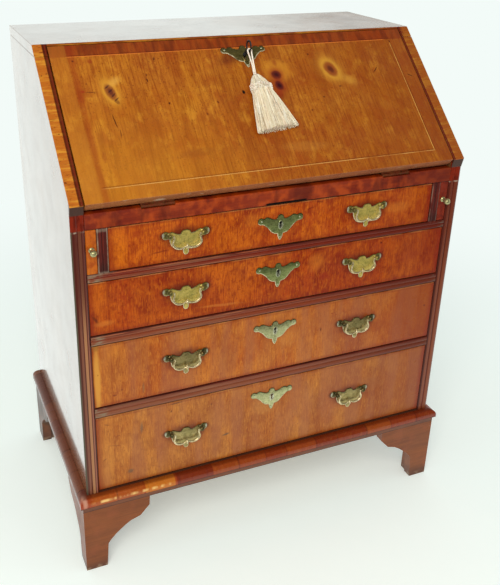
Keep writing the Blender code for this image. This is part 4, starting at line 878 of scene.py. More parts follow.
def make_plate_look(name, colour, dull, seed, metallic=0.85, boss=None):
    """Cast brass, with painted shade along its bevel and a painted highlight on the bevel low down.

    A plate without a boss has painted shade on its ears round the posts. A boss is the colour of the painted
    highlight on its raised oval, and "" leaves both out.
    """
    look = make_brass_look(name, colour, dull, seed)
    # Painted shade along the bevel; low down on it a pale painted highlight, less metallic so it stays pale
    bevel = look.past(2, PLATE_THICKNESS - 0.00002, PLATE_THICKNESS - 0.00012)
    look.lay(bevel, "#3c341a", 0.75)
    rim_highlight = look.both(bevel, look.cloud(0.01, 0.3, 0.5, seed + 7), look.past(1, 0.003, -0.007))
    look.lay(rim_highlight, "#e8d8b0", 0.8)
    metal = look.add("ShaderNodeMapRange", {"Value": rim_highlight, "To Min": metallic, "To Max": 0.3})
    look.tree.links.new(metal.outputs[0], look.shader.inputs["Metallic"])
    if boss is None:
        for way in (-1, 1):
            # Painted shade round each post on the ear, and a pale spot at the ear's tip
            look.lay(look.spot((way * 0.035, 0.0, 0.001), (0.012, 0.01, 1), 0, 0.7), "#38351e", 0.85)
            look.lay(look.spot((way * 0.0425, 0.002, 0.001), (0.0035, 0.006, 1), 0, 0.7), "#c9c6ae", 0.7)
    elif boss:
        # Painted highlight on the raised oval round the keyhole
        look.lay(look.spot((0.0, -0.0107, 0.001), (0.0062, 0.01, 1), 0, 0.35), boss, 0.75)
    return look.done()


def make_silk_look(name, colour, shade):
    """Silk yarn: each thread has its own tone, cream to pink, and darker between the threads."""
    look = Finish(name, colour, 0.55, "piece", sheen_weight=0.3)
    tone = look.add("ShaderNodeAttribute", attribute_name="tone").outputs["Fac"]
    for start, end, tint, amount in ((0.55, 1.0, "#e9b9a4", 0.55), (0.35, 0.0, shade, 0.6)):
        toned = look.add("ShaderNodeMapRange", {"Value": tone, "From Min": start, "From Max": end})
        look.lay(toned, tint, amount)
    # Long streaks along the yarn: paler and darker locks, with painted highlight and shade
    look.patches((
        ((0.0032, 0.05, 0.05), 0.5, 0.66, 173, "#fffdf0", 0.6),
        ((0.0026, 0.04, 0.04), 0.54, 0.68, 174, shade, 0.6),
        (0.006, 0.5, 0.68, 170, "#fff6e4", 0.4), (0.002, 0.6, 0.72, 171, "#c98f78", 0.35),
    ))
    look.lift(look.cloud(0.0005, 0.35, 0.65, 172), 0.0001)
    return look.done()


def make_iron_look():
    """Old forged iron: dark, pitted, faintly brown."""
    look = Finish("dark iron of the key", "#3a3a3c", 0.4, "piece", metallic=0.85)
    look.lay(look.cloud(0.004, 0.5, 0.66, 380), "#1e1a18", 0.6)
    look.lay(look.cloud(0.002, 0.6, 0.7, 381), "#6a5a4c", 0.4)
    look.dull(look.cloud(0.003, 0.35, 0.7, 382), 0.25)
    look.lift(look.cloud(0.0008, 0.35, 0.65, 383), 0.00004)
    return look.done()


NEST_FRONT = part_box("nest_left")[0].y
INNER_DRAWER_BACK = 0.001
side_look = make_side_look("waxed walnut of the side boards").done()
top_look = make_top_look()
rail_look = make_rail_look()
writing_look = make_writing_look()
base_look = make_base_look()
foot_look = make_foot_look("worn walnut of the front feet", "#84441c", "#4e220c", "#965628")
# The back feet take a darker copy of the foot look, as painted shade
shaded_back_foot_look = make_foot_look("walnut of the back feet in painted shade", "#4a2e1c", "#2c1a10", "#684428")
oak_look = make_lining_look()
back_look = make_back_look()
nest_look = make_nest_look("oak and walnut of the pigeonholes", NEST_FRONT, 180)
inner_look = make_nest_look("oak and walnut of the small drawer", NEST_FRONT + INNER_DRAWER_BACK, 190)
fall_look = make_fall_look()
drawer_looks = {
    1: make_drawer_look(1, "#b04804", "#761400", "#d87408", 200),
    2: make_drawer_look(2, "#a63e04", "#701200", "#ce6a0a", 220),
    3: make_drawer_look(3, "#b45a14", "#7a2406", "#d08430", 240),
    4: make_drawer_look(4, "#b0601c", "#762c0c", "#d08a3a", 260),
}
loper_looks = {
    "left": make_loper_look("bright walnut of the left slide", "#bc5c0e", "#8a2c04", "#dc8c1e", 280),
    "right": make_loper_look("red walnut of the right slide", "#7e2410", "#4e120a", "#a03c18", 290),
}
upper_handle_look = make_plate_look(
    "bright olive brass of the upper handle plates", "#d8c064", "#a89c48", 300, 0.55,
)
lower_handle_look = make_plate_look("olive brass of the lower handle plates", "#ac9862", "#827846", 305)
upper_escutcheon_look = make_plate_look(
    "green brass of the upper escutcheons", "#9ca464", "#74824a", 310, boss="#b4b49e",
)
lower_escutcheon_look = make_plate_look(
    "pale brass of the lower escutcheons", "#bebb88", "#969c66", 320, boss="#cdcab2",
)
fall_escutcheon_look = make_plate_look(
    "brown brass of the fall escutcheon", "#8c7c44", "#6a5f30", 330, boss="",
)
bail_look = make_brass_look("rubbed brass of the bails", "#f0deb0", "#bca468", 340, "#fff4dc").done()
pin_look = make_brass_look("bright brass pins", "#cfd0b0", "#a8a878", 350, "#ffffff").done()
knob_look = make_brass_look("pale brass of the knobs", "#c8c08c", "#8e9058", 360).done()
hinge_look = make_brass_look(
    "dark tarnished brass of hinges and lock", "#74341a", "#4c1e10", 370, "#8a5c3c", 0.3,
).done()
iron_look = make_iron_look()
thread_look = make_silk_look("cream silk threads", "#f2e4c2", "#a98a62")
cord_look = make_silk_look("twisted white silk", "#fbf3e2", "#dcb8a4")


# The CAD pieces keep their shape and take these looks

def dress(look, *nodes):
    """Gives these CAD pieces this look."""
    for name in nodes:
        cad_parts[name].material_slots[0].material = look


dress(side_look, "side_left", "side_right")
dress(top_look, "top_board")
dress(rail_look, "drawer_rail_1", "drawer_rail_2", "drawer_rail_3")
dress(writing_look, "writing_board")
dress(base_look, "base_moulding")
dress(foot_look, "foot_front_left", "foot_front_right")
dress(shaded_back_foot_look, "foot_back_left", "foot_back_right")
dress(oak_look, "bottom_board")
dress(back_look, "back_panel")
dress(nest_look, "nest_left", "nest_right")
dress(inner_look, "inner_drawer")
dress(fall_look, "fall_panel")
dress(hinge_look, "hinge_left_case_leaf", "hinge_left_fall_leaf", "hinge_right_case_leaf")
dress(hinge_look, "hinge_right_fall_leaf", "fall_lock")
dress(iron_look, "lock_bolt")
for number in DRAWERS:
    dress(drawer_looks[number], f"drawer_{number}_front")
    dress(oak_look, f"drawer_{number}_box")
for side in loper_looks:
    dress(loper_looks[side], f"loper_{side}")


# Shapes

def piece(name, mesh, look, body, at=Matrix(), angle=35, stands_for=()):
    """An object of this mesh, moved to its place in the mesh itself, which rides on a CAD body."""
    local = mesh.attributes.new("local", "FLOAT_VECTOR", "POINT")
    flat = [0.0] * (3 * len(mesh.vertices))
    mesh.vertices.foreach_get("co", flat)
    local.data.foreach_set("vector", flat)
    mesh.transform(at)
    mesh.shade_smooth()
    mesh.set_sharp_from_angle(angle=math.radians(angle))
    mesh.materials.clear()
    mesh.materials.append(look)
    mesh.name = name
    made = link(bpy.data.objects.new(name, mesh))
    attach(made, body)
    if stands_for:
        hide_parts(*stands_for)
    return made


def loft(rings, capped=True, looped=False):
    """A mesh through rings of points, each with as many points or just one."""
    mesh = bmesh.new()
    made = [[mesh.verts.new(point) for point in ring] for ring in rings]
    pairs = list(zip(made, made[1:]))
    if looped:
        pairs.append((made[-1], made[0]))
    for lower, upper in pairs:
        count = max(len(lower), len(upper))
        for i in range(count):
            after = (i + 1) % count
            corners = [lower[i % len(lower)], lower[after % len(lower)]]
            corners += [upper[after % len(upper)], upper[i % len(upper)]]
            mesh.faces.new(list(dict.fromkeys(corners)))
    if capped and not looped:
        for ring in (made[0], made[-1]):
            if len(ring) > 2:
                mesh.faces.new(ring)
    bmesh.ops.recalc_face_normals(mesh, faces=mesh.faces)
    data = bpy.data.meshes.new("loft")
    mesh.to_mesh(data)
    mesh.free()
    return data


def angles(count):
    """Even steps round a full turn."""
    return [2 * math.pi * i / count for i in range(count)]


def lathe(profile, sides=32):
    """Turned round Z, from (radius, height) pairs."""
    rings = []
    for radius, height in profile:
        steps = angles(sides) if radius else [0.0]
        rings.append([(radius * math.cos(a), radius * math.sin(a), height) for a in steps])
    return loft(rings)


def curve_through(points, steps, closed=False):
    """Points of a smooth curve through these ones, with this many steps between neighbours."""
    points = [Vector(point) for point in points]
    if closed:
        guides = [points[-1], *points, points[0], points[1]]
    else:
        guides = [2 * points[0] - points[1], *points, 2 * points[-1] - points[-2]]
    made = []
    for before, start, end, after in zip(guides, guides[1:], guides[2:], guides[3:]):
        for i in range(steps):
            t = i / steps
            bend = (2 * before - 5 * start + 4 * end - after) * t * t
            twist = (3 * start - before - 3 * end + after) * t * t * t
            made.append((2 * start + (end - before) * t + bend + twist) / 2)
    return made if closed else [*made, points[-1]]


def evened(points, step):
    """The same line with its points at even distances."""
    lengths = [0.0]
    for a, b in zip(points, points[1:]):
        lengths.append(lengths[-1] + (b - a).length)
    count = max(2, round(lengths[-1] / step))
    made, k = [], 0
    for i in range(count + 1):
        at = lengths[-1] * i / count
        while k < len(points) - 2 and lengths[k + 1] < at:
            k += 1
        share = (at - lengths[k]) / max(1e-9, lengths[k + 1] - lengths[k])
        made.append(points[k].lerp(points[k + 1], min(1, share)))
    return made, lengths[-1]


def tube(path, radius, sides=12):
    """A tube along a path. The radius is found from the point's number and the angle round it."""
    rings = []
    across = None
    for i, point in enumerate(path):
        along = (path[min(i + 1, len(path) - 1)] - path[max(i - 1, 0)]).normalized()
        guide = across or along.orthogonal()
        across = (guide - along * guide.dot(along)).normalized()
        other = along.cross(across)
        ring = []
        for angle in angles(sides):
            ring.append(point + (across * math.cos(angle) + other * math.sin(angle)) * radius(i, angle))
        rings.append(ring)
    return loft(rings)


def joined(*meshes):
    """One mesh of several."""
    whole = bmesh.new()
    for mesh in meshes:
        whole.from_mesh(mesh)
    data = bpy.data.meshes.new("joined")
    whole.to_mesh(data)
    whole.free()
    return data


def moved(mesh, *place):
    """A copy of the mesh at this place."""
    copy = mesh.copy()
    copy.transform(Matrix.Translation(place))
    return copy


def inset(outline, distance):
    """The outline moved inwards by this distance."""
    made = []
    count = len(outline)
    for i, point in enumerate(outline):
        before = (point - outline[i - 1]).normalized()
        after = (outline[(i + 1) % count] - point).normalized()
        normals = [Vector((-way.y, way.x)) for way in (before, after)]
        middle = normals[0] + normals[1]
        made.append(point + middle * distance / max(0.6, 1 + normals[0].dot(normals[1])))
    return made


# From the back of a cast plate to its face: how far in from the outline, and how far out
PLATE_EDGE = (
    (0.0002, 0.0), (0.0, 0.0003), (0.0, 0.0008), (0.0004, 0.0013), (PLATE_BEVEL, PLATE_THICKNESS),
)
# The raised oval round a keyhole: its share of the full size, and how far out
BOSS_SHARES = ((1.0, 0.0010), (1.0, 0.0017), (0.93, 0.0022), (0.80, 0.0026), (0.66, 0.0024), (0.58, 0.0019))


def plate_mesh(shares, width, height):
    """A cast plate with a worn, rounded bevel round its edge. Y is up and Z out."""
    half = [(width / 2 * x, height * z) for x, z in shares]
    whole = [*half, *[(-x, z) for x, z in reversed(half[1:-1])]]
    outline = list(reversed(curve_through([(x, y, 0) for x, y in whole], 3, closed=True)))
    flat = [point.xy for point in outline]
    rings = []
    for inward, out in PLATE_EDGE:
        rings.append([(p.x, p.y, out) for p in inset(flat, inward)])
    return loft(rings)


def bored(mesh, holes):
    """The mesh with these shapes cut out of it."""
    body = link(bpy.data.objects.new("body", mesh))
    tools = []
    for hole in holes:
        tool = link(bpy.data.objects.new("hole", hole))
        tools.append(tool)
        step = body.modifiers.new("cut", "BOOLEAN")
        step.operation = "DIFFERENCE"
        step.object = tool
    depsgraph = bpy.context.evaluated_depsgraph_get()
    made = bpy.data.meshes.new_from_object(body.evaluated_get(depsgraph))
    for old in (body, *tools):
        bpy.data.objects.remove(old)
    return made


def keyhole_mesh(axis):
    """A round top over a straight slot."""
    radius = 0.0030
    outline = []
    for i in range(17):
        angle = -math.pi / 3 + (math.pi + 2 * math.pi / 3) * i / 16
        outline.append((radius * math.cos(angle), axis + radius * math.sin(angle)))
    outline += [(-0.0015, axis - 0.0092), (0.0015, axis - 0.0092)]
    return loft([[(x, y, z) for x, y in outline] for z in (-0.003, 0.006)])


def escutcheon_mesh(keyhole_drop, key_shift=0.0):
    """A batwing plate with a raised oval round its keyhole."""
    plate = plate_mesh(ESCUTCHEON_SHARES, *ESCUTCHEON_SIZE)
    middle = -keyhole_drop - 0.0042
    rings = []
    for grow, out in BOSS_SHARES:
        rings.append([
            (key_shift + 0.0056 * grow * math.cos(a), middle + 0.0092 * grow * math.sin(a), out)
            for a in angles(28)
        ])
    hole = keyhole_mesh(-keyhole_drop)
    hole.transform(Matrix.Translation((key_shift, 0, 0)))
    boss = bored(loft(rings), [hole.copy()])
    return joined(bored(plate, [hole]), boss)


def repeat_tree():
    """Sets a piece on every point, as its turn and size say, with a small turn and a tone of its own."""
    tree = bpy.data.node_groups.new("repeat", "GeometryNodeTree")
    for name, kind in (
        ("Points", "Geometry"), ("Piece", "Object"), ("Look", "Material"), ("Roll", "Float"), ("Seed", "Int"),
    ):
        tree.interface.new_socket(name=name, in_out="INPUT", socket_type=f"NodeSocket{kind}")
    tree.interface.new_socket(name="Made", in_out="OUTPUT", socket_type="NodeSocketGeometry")
    given = add(tree, "NodeGroupInput").outputs
    shape = add(tree, "GeometryNodeObjectInfo", {"Object": given["Piece"]})
    turn = add(tree, "GeometryNodeInputNamedAttribute", {"Name": "turn"}, data_type="FLOAT_VECTOR")
    size = add(tree, "GeometryNodeInputNamedAttribute", {"Name": "size"}, data_type="FLOAT_VECTOR")
    placed = add(tree, "GeometryNodeInstanceOnPoints", {
        "Points": given["Points"], "Instance": shape.outputs["Geometry"],
        "Rotation": add(tree, "FunctionNodeEulerToRotation", {0: turn}), "Scale": size,
    })
    least = add(tree, "ShaderNodeMath", {0: given["Roll"], 1: -1.0}, operation="MULTIPLY")
    roll = add(tree, "FunctionNodeRandomValue", {
        "Min": least, "Max": given["Roll"], "Seed": given["Seed"],
    }, data_type="FLOAT")
    spun = add(tree, "GeometryNodeRotateInstances", {
        "Instances": placed, "Rotation": add(tree, "ShaderNodeCombineXYZ", {"Z": roll}),
    })
    tone = add(tree, "FunctionNodeRandomValue", {
        "Min": 0.0, "Max": 1.0, "Seed": given["Seed"],
    }, data_type="FLOAT")
    toned = add(tree, "GeometryNodeStoreNamedAttribute", {
        "Geometry": spun, "Name": "tone", "Value": tone,
    }, data_type="FLOAT", domain="INSTANCE")
    solid = add(tree, "GeometryNodeRealizeInstances", {"Geometry": toned})
    painted = add(tree, "GeometryNodeSetMaterial", {"Geometry": solid, "Material": given["Look"]})
    add(tree, "NodeGroupOutput", {"Made": painted})
    return tree


def thread_tree():
    """Makes a thread of every line, each with a tone of its own."""
    tree = bpy.data.node_groups.new("threads", "GeometryNodeTree")
    for name, kind in (("Lines", "Geometry"), ("Radius", "Float"), ("Look", "Material"), ("Seed", "Int")):
        tree.interface.new_socket(name=name, in_out="INPUT", socket_type=f"NodeSocket{kind}")
    tree.interface.new_socket(name="Made", in_out="OUTPUT", socket_type="NodeSocketGeometry")
    given = add(tree, "NodeGroupInput").outputs
    lines = add(tree, "GeometryNodeMeshToCurve", {"Mesh": given["Lines"]})
    tone = add(tree, "FunctionNodeRandomValue", {
        "Min": 0.0, "Max": 1.0, "Seed": given["Seed"],
    }, data_type="FLOAT")
    toned = add(tree, "GeometryNodeStoreNamedAttribute", {
        "Geometry": lines, "Name": "tone", "Value": tone,
    }, data_type="FLOAT", domain="CURVE")
    round_line = add(tree, "GeometryNodeCurvePrimitiveCircle", {"Resolution": 5, "Radius": given["Radius"]})
    tubes = add(tree, "GeometryNodeCurveToMesh", {
        "Curve": toned, "Profile Curve": round_line.outputs["Curve"], "Fill Caps": True,
    })
    solid = add(tree, "GeometryNodeRealizeInstances", {"Geometry": tubes})
    painted = add(tree, "GeometryNodeSetMaterial", {"Geometry": solid, "Material": given["Look"]})
    add(tree, "NodeGroupOutput", {"Made": painted})
    return tree


def grown(tree, mesh, **values):
    """The plain mesh that a node tree makes of this one."""
    holder = link(bpy.data.objects.new("holder", mesh))
    step = holder.modifiers.new("made", "NODES")
    step.node_group = tree
    for socket in tree.interface.items_tree:
        if socket.in_out == "INPUT" and socket.name in values:
            step[socket.identifier] = values[socket.name]
    depsgraph = bpy.context.evaluated_depsgraph_get()
    made = bpy.data.meshes.new_from_object(holder.evaluated_get(depsgraph))
    holder.modifiers.remove(step)
    bpy.data.objects.remove(holder)
    return made


REPEAT = repeat_tree()
THREADS = thread_tree()


def repeated(shape, places, look, roll=0.0, seed=1):
    """Copies of a shape at each (matrix, size), as one mesh."""
    points = bpy.data.meshes.new("points")
    points.from_pydata([at.to_translation() for at, _ in places], [], [])
    turns = [at.to_euler() for at, _ in places]
    sizes = [(size,) * 3 for _, size in places]
    for name, values in (("turn", turns), ("size", sizes)):
        store = points.attributes.new(name, "FLOAT_VECTOR", "POINT")
        store.data.foreach_set("vector", [float(v) for value in values for v in value])
    template = link(bpy.data.objects.new("template", shape))
    made = grown(REPEAT, points, Piece=template, Look=look, Roll=roll, Seed=seed)
    bpy.data.objects.remove(template)
    return made


# Fittings

def on_front(x, z, out=SEAT):
    """The frame of a fitting on a drawer's face: Y up and Z out of it."""
    return Matrix.Translation((x, DRAWER_FACE - out, z)) @ UPRIGHT


def on_slope(x, up, out=FALL_THICKNESS + SEAT):
    """The frame of a fitting on the fall."""
    return SLOPE_FRAME @ Matrix.Translation((x, up, out))


def under_fall(x, up):
    """The frame of a screw on the inner side of the fall."""
    return on_slope(x, up, 0) @ Matrix.Rotation(math.pi, 4, "X")


def cast(name, mesh, look, body, at):
    """A brass fitting that stands for the CAD piece of this name."""
    piece(f"{name}_cast", mesh, look, body, at, stands_for=(name,))


# Turned profiles: radius and height
POST_PROFILE = (
    (0.0052, 0.0012), (0.0052, 0.0020), (0.0044, 0.0027), (0.0030, 0.0034), (0.0027, 0.0044),
    (0.0034, 0.0056), (0.0044, 0.0066), (0.0046, 0.0078), (0.0044, 0.0090), (0.0035, 0.0102),
    (0.0020, 0.0110), (0.0, 0.0113),
)
KNOP_PROFILE = (
    (0.0, 0.0048), (0.0011, 0.0046), (0.0016, 0.0038), (0.0012, 0.0030), (0.0022, 0.0024), (0.0030, 0.0012),
    (0.0031, 0.0), (0.0027, -0.0014), (0.0014, -0.0024), (0.0013, -0.0030), (0.0021, -0.0036),
    (0.0020, -0.0044), (0.0, -0.0050),
)
PIN_PROFILE = ((0.0019, 0.0), (0.0018, 0.0004), (0.0013, 0.0008), (0.0006, 0.0010), (0.0, 0.00105))
KNOB_PROFILE = (
    (0.0052, 0.0003), (0.0054, 0.0010), (0.0050, 0.0018), (0.0040, 0.0024), (0.0030, 0.0034),
    (0.0026, 0.0050), (0.0027, 0.0066), (0.0036, 0.0078), (0.0050, 0.0092), (0.0060, 0.0112),
    (0.0063, 0.0136), (0.0060, 0.0158), (0.0050, 0.0178), (0.0032, 0.0192), (0.0014, 0.0199),
    (0.0, 0.0200),
)
SCREW_PROFILE = ((0.0021, -0.0002), (0.0023, 0.00005), (0.0021, 0.0002), (0.0, 0.0003))


def handle_plate_mesh():
    """A batwing plate with the two posts that hold its bail."""
    plate = plate_mesh(HANDLE_PLATE_SHARES, *HANDLE_PLATE_SIZE)
    post = lathe(POST_PROFILE, 24)
    return joined(plate, moved(post, -POST_SPREAD, 0, 0), moved(post, POST_SPREAD, 0, 0))


def bail_mesh():
    """The drop handle: two swelling lobes that meet in a small turned knop."""
    scale = BAIL_PIN_X / BAIL_SHARES[0][0]
    half = [(scale * across, -BAIL_DROP * down, radius * MM) for across, down, radius in BAIL_SHARES]
    whole = [*half, *[(-x, y, radius) for x, y, radius in reversed(half)]]
    smooth = curve_through([(x, y, 0) for x, y, _ in whole], 5)
    thick = curve_through([(radius, 0, 0) for _, _, radius in whole], 5)
    bow = tube(smooth, lambda i, angle: thick[i].x, 14)
    knop = lathe(KNOP_PROFILE, 24)
    knop.transform(Matrix.Translation((0, -BAIL_DROP * 0.90, 0)) @ Matrix.Rotation(-math.pi / 2, 4, "X"))
    return joined(bow, knop)


handle_plate = handle_plate_mesh()
bail = bail_mesh()
escutcheon = escutcheon_mesh(KEYHOLE_BELOW_EARS)
pin = lathe(PIN_PROFILE, 16)


def set_pins(name, body, at, foot, sizes, seed):
    """Three pins on an escutcheon: at both ears and low on its foot."""
    spots = ((-PIN_SPREAD, 0.0), (PIN_SPREAD, 0.0), (0.0, foot))
    places = [(Matrix.Translation((x, y, PLATE_THICKNESS)), size) for (x, y), size in zip(spots, sizes)]
    pins = repeated(pin.copy(), places, pin_look, 3.0, seed)
    piece(name, pins, pin_look, body, at)


random.seed(7)
for number in DRAWERS:
    low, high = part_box(f"drawer_{number}_front")
    drawer = f"drawer_{number}"
    upper = number < 3
    at = on_front(FITTING_SHIFT, high.z - ESCUTCHEON_DROP)
    name = f"{drawer}_escutcheon"
    cast(name, escutcheon.copy(), upper_escutcheon_look if upper else lower_escutcheon_look, drawer, at)
    sizes = [random.uniform(0.9, 1.1) for _ in range(3)]
    set_pins(f"{name}_pins", drawer, at, -0.0345, sizes, number)
    middle = (low.z + high.z) / 2 + HANDLE_RISE
    handle_look = upper_handle_look if upper else lower_handle_look
    for side, way in SIDES:
        x = FITTING_SHIFT + way * HANDLE_X
        cast(f"{drawer}_handle_plate_{side}", handle_plate.copy(), handle_look, drawer, on_front(x, middle))
        name = f"{drawer}_bail_{side}"
        cast(name, bail.copy(), bail_look, name, on_front(x, middle, SEAT + BAIL_STAND))

at = on_slope(FALL_PLATE_SHIFT, KEYHOLE_UP + FALL_KEYHOLE_BELOW_EARS)
fall_plate = escutcheon_mesh(FALL_KEYHOLE_BELOW_EARS, -FALL_PLATE_SHIFT)
cast("fall_escutcheon", fall_plate, fall_escutcheon_look, "fall", at)
set_pins("fall_escutcheon_pins", "fall", at, -0.0360, (1.0, 1.0, 1.0), 9)

for side, way in SIDES:
    name = f"loper_knob_{side}"
    low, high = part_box(name)
    at = on_front((low.x + high.x) / 2, (low.z + high.z) / 2, 0)
    piece(
        f"{name}_turned", lathe(KNOB_PROFILE), knob_look, f"loper_{side}", at,
        stands_for=(name,),
    )


def screw_mesh():
    """A countersunk head with a slot."""
    long_half, half = 0.003, 0.0003
    slot = loft([
        [(-long_half, -half, z), (long_half, -half, z), (long_half, half, z), (-long_half, half, z)]
        for z in (0.00005, 0.001)
    ])
    return bored(lathe(SCREW_PROFILE, 20), [slot])


def set_screws(name, places, seed, body):
    """Screws at these places, each turned a little."""
    screws = repeated(screw.copy(), [(at, 1.0) for at in places], iron_look, 1.5, seed)
    piece(name, screws, iron_look, body)


screw = screw_mesh()
for side, way in SIDES:
    on_case, on_fall = [], []
    for k in (-0.022, 0.0, 0.022):
        x = way * HINGE_X + k
        on_case.append(Matrix.Translation((x, HINGE_PIN[1] + SCREW_FROM_PIN, HINGE_PIN[2])))
        on_fall.append(under_fall(x, SCREW_FROM_PIN))
    set_screws(f"hinge_{side}_case_screws", on_case, 21, "case")
    set_screws(f"hinge_{side}_fall_screws", on_fall, 22, "fall")
places = [under_fall(x, up) for x in (-0.028, 0.028) for up in (0.264, 0.314)]
set_screws("fall_lock_screws", places, 23, "fall")


# The outline of the key's bit: how far to its side, and how far out
BIT = (
    (0.0, 0.0025), (-0.0090, 0.0025), (-0.0090, 0.0040), (-0.0062, 0.0040), (-0.0062, 0.0050),
    (-0.0090, 0.0050), (-0.0090, 0.0067), (0.0, 0.0067),
)


def key_mesh():
    """Bit, round shank with a collar, and a flattened ring for the bow. It points out of the slope."""
    tip = 0.0025
    stem = BOW_CENTRE.z - BOW_OUTER + 0.0006
    shank = lathe((
        (0.0, tip), (0.0021, tip), (0.0024, tip + 0.0003), (0.0024, 0.0232), (0.0030, 0.0240),
        (0.0038, 0.0252), (0.0038, 0.0262), (0.0028, 0.0272), (0.0026, 0.0280), (0.0034, 0.0290),
        (0.0034, 0.0298), (0.0024, 0.0308), (0.0026, stem), (0.0, stem + 0.001),
    ), 20)
    rings = []
    middle, thick = (BOW_INNER + BOW_OUTER) / 2, (BOW_OUTER - BOW_INNER) / 2
    for turn in angles(48):
        outward = Vector((0, math.cos(turn), math.sin(turn)))
        centre = Vector((0, 0, BOW_CENTRE.z)) + outward * middle
        rings.append([
            centre + outward * thick * math.cos(a) + Vector((0.0013 * math.sin(a), 0, 0))
            for a in angles(12)
        ])
    bow = loft(rings, looped=True)
    bit = loft([[(-0.001, y, z) for y, z in BIT], [(0.001, y, z) for y, z in BIT]])
    return joined(shank, bow, bit)


at = on_slope(0, KEYHOLE_UP, 0)
piece("key_forged", key_mesh(), iron_look, "key", at, stands_for=("key",))


# The cord and the tassel

def tassel_shape(share):
    """Half width and half depth of the tassel at this share of its length."""
    for (a, wide_a, deep_a), (b, wide_b, deep_b) in zip(TASSEL_SHARES, TASSEL_SHARES[1:]):
        if share <= b:
            t = (share - a) / (b - a)
            return wide_a + (wide_b - wide_a) * t, deep_a + (deep_b - deep_a) * t
    return TASSEL_SHARES[-1][1:]


def on_tassel(share, angle, grow=1.0):
    """A point of the tassel's surface, in the slope's frame."""
    wide, deep = tassel_shape(share)
    half_depth = TASSEL_DEPTH * deep
    middle = TASSEL_HEAD + TASSEL_ALONG * TASSEL_LENGTH * share
    middle.z = TASSEL_HEAD.z - (TASSEL_DEPTH - half_depth) * min(1, share / 0.11)
    across = TASSEL_ACROSS * TASSEL_WIDTH * wide * math.cos(angle)
    return middle + (across + Vector((0, 0, half_depth * math.sin(angle)))) * grow


def cord_path():
    """From the tassel's head up through the key's bow and back, in the slope's frame."""
    away = Vector((0, TASSEL_HEAD.y - BOW_CENTRE.y, TASSEL_HEAD.z - BOW_CENTRE.z)).normalized()
    hang = BOW_CENTRE + away * (BOW_INNER - CORD_RADIUS - 0.0006)
    end = TASSEL_HEAD + TASSEL_ALONG * 0.001
    leave = hang + away * 2 * CORD_LOOP
    lead = [(leave, CORD_LOOP * 0.85), (leave.lerp(end, 0.5), CORD_PAIR)]
    lead += [(end - TASSEL_ALONG * CORD_RADIUS * 3, CORD_PAIR), (end, CORD_PAIR)]
    strands = []
    for way in (1, -1):
        arc = []
        for i in range(7):
            a = math.pi / 2 * i / 6
            across = Vector((way * CORD_LOOP * math.sin(a), 0, 0))
            arc.append(hang + away * CORD_LOOP * (1 - math.cos(a)) + across)
        rest = [place + TASSEL_ACROSS * way * half for place, half in lead]
        strands.append([*arc[:-1], *curve_through([arc[-1], *rest], 4)])
    return [*reversed(strands[1][1:]), *strands[0]]


def twisted(path):
    """A cord of three plies, one of them tinted."""
    pitch, step = 0.0085, 0.0005
    points, length = evened(path, step)
    deep = 0.20

    def radius(i, angle):
        """Three lobes that turn along the cord."""
        return CORD_RADIUS * (1 - deep + deep * abs(math.cos(1.5 * (angle - 2 * math.pi * i * step / pitch))))

    sides = 18
    mesh = tube(points, radius, sides)
    tone = mesh.attributes.new("tone", "FLOAT", "POINT")
    for i in range(len(mesh.vertices)):
        ring, k = divmod(i, sides)
        turn = (2 * math.pi * k / sides - 2 * math.pi * ring * step / pitch + math.pi / 3) % (2 * math.pi)
        tone.data[i].value = (0.10, 0.50, 0.95)[int(turn / (2 * math.pi / 3)) % 3]
    return mesh, points, length


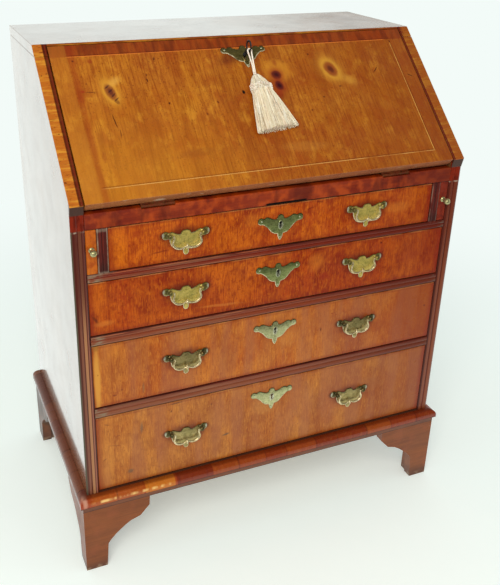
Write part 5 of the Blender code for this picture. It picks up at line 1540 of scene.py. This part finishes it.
def make_tassel():
    """The twisted cord, and a tassel of single threads round a core, with a knotted collar."""
    path = [SLOPE_FRAME @ point for point in cord_path()]
    mesh, points, length = twisted(path)
    cord = piece(
        "tassel_cord_twisted", mesh, cord_look, "tassel", angle=180,
        stands_for=("tassel_cord",),
    )

    shares = [0.0, 0.015, 0.03, 0.06, 0.11, 0.16, 0.21, 0.25, 0.29, 0.33, 0.42, 0.55, 0.70, 0.85, 0.965]
    rings = [[SLOPE_FRAME @ on_tassel(share, a, 0.86) for a in angles(32)] for share in shares]
    piece("tassel_core", loft(rings), thread_look, "tassel", angle=60, stands_for=("tassel",))

    random.seed(11)
    verts, edges = [], []

    def strand(points):
        """One more line through these points."""
        start = len(verts)
        verts.extend(points)
        edges.extend((start + i, start + i + 1) for i in range(len(points) - 1))

    for k in range(SKIRT_THREADS):
        angle = 2 * math.pi * (k + random.uniform(-0.4, 0.4)) / SKIRT_THREADS
        end = random.uniform(0.955, 1.005)
        deep = random.choice((0.90, 0.94, 0.98, 1.0))
        sway, wave, phase = random.uniform(-0.06, 0.06), random.uniform(0.0, 0.02), random.uniform(0, 6.3)
        line = []
        for i in range(13):
            t = i / 12
            share = SKIRT_SHARE + (end - SKIRT_SHARE) * t
            turn = angle + sway * t * t + wave * math.sin(phase + 5 * t)
            line.append(SLOPE_FRAME @ on_tassel(share, turn, deep + 0.02 * math.sin(phase + 3 * t) * t))
        strand(line)
    for k in range(HEAD_THREADS):
        angle = 2 * math.pi * (k + random.uniform(-0.3, 0.3)) / HEAD_THREADS
        strand([
            SLOPE_FRAME @ on_tassel(0.005 + 0.245 * i / 7, angle + 0.05 * i / 7, 0.97) for i in range(8)
        ])
    lines = bpy.data.meshes.new("lines")
    lines.from_pydata(verts, edges, [])
    threads = grown(THREADS, lines, Radius=THREAD_RADIUS, Look=thread_look, Seed=4)
    piece("tassel_threads", threads, thread_look, "tassel", angle=180)

    rings = []
    for turn in angles(14):
        outward = Vector((math.cos(turn), math.sin(turn), 0))
        rings.append([
            outward * KNOT_RADIUS + outward * KNOT_THICK * math.cos(a)
            + Vector((0, 0, KNOT_THICK * math.sin(a)))
            for a in angles(7)
        ])
    knot_shape = loft(rings, looped=True)
    places = []
    for row, share in enumerate((0.195, 0.222, 0.249, 0.276)):
        for k in range(KNOTS_ROUND):
            angle = 2 * math.pi * (k + 0.5 * (row % 2) + random.uniform(-0.3, 0.3)) / KNOTS_ROUND
            down = share + random.uniform(-0.012, 0.012) + 0.02 * math.cos(angle)
            where = SLOPE_FRAME @ on_tassel(down, angle, random.uniform(0.98, 1.04))
            spin = Matrix.Rotation(random.uniform(0, 6.3), 4, "X")
            spin = spin @ Matrix.Rotation(random.uniform(0, 6.3), 4, "Y")
            places.append((Matrix.Translation(where) @ spin, random.uniform(0.8, 1.25)))
    knots = repeated(knot_shape, places, cord_look, 3.0, 6)
    piece("tassel_collar_knots", knots, cord_look, "tassel", angle=180)
    tuple(points[0])
    [tuple(point) for point in points]


make_tassel()
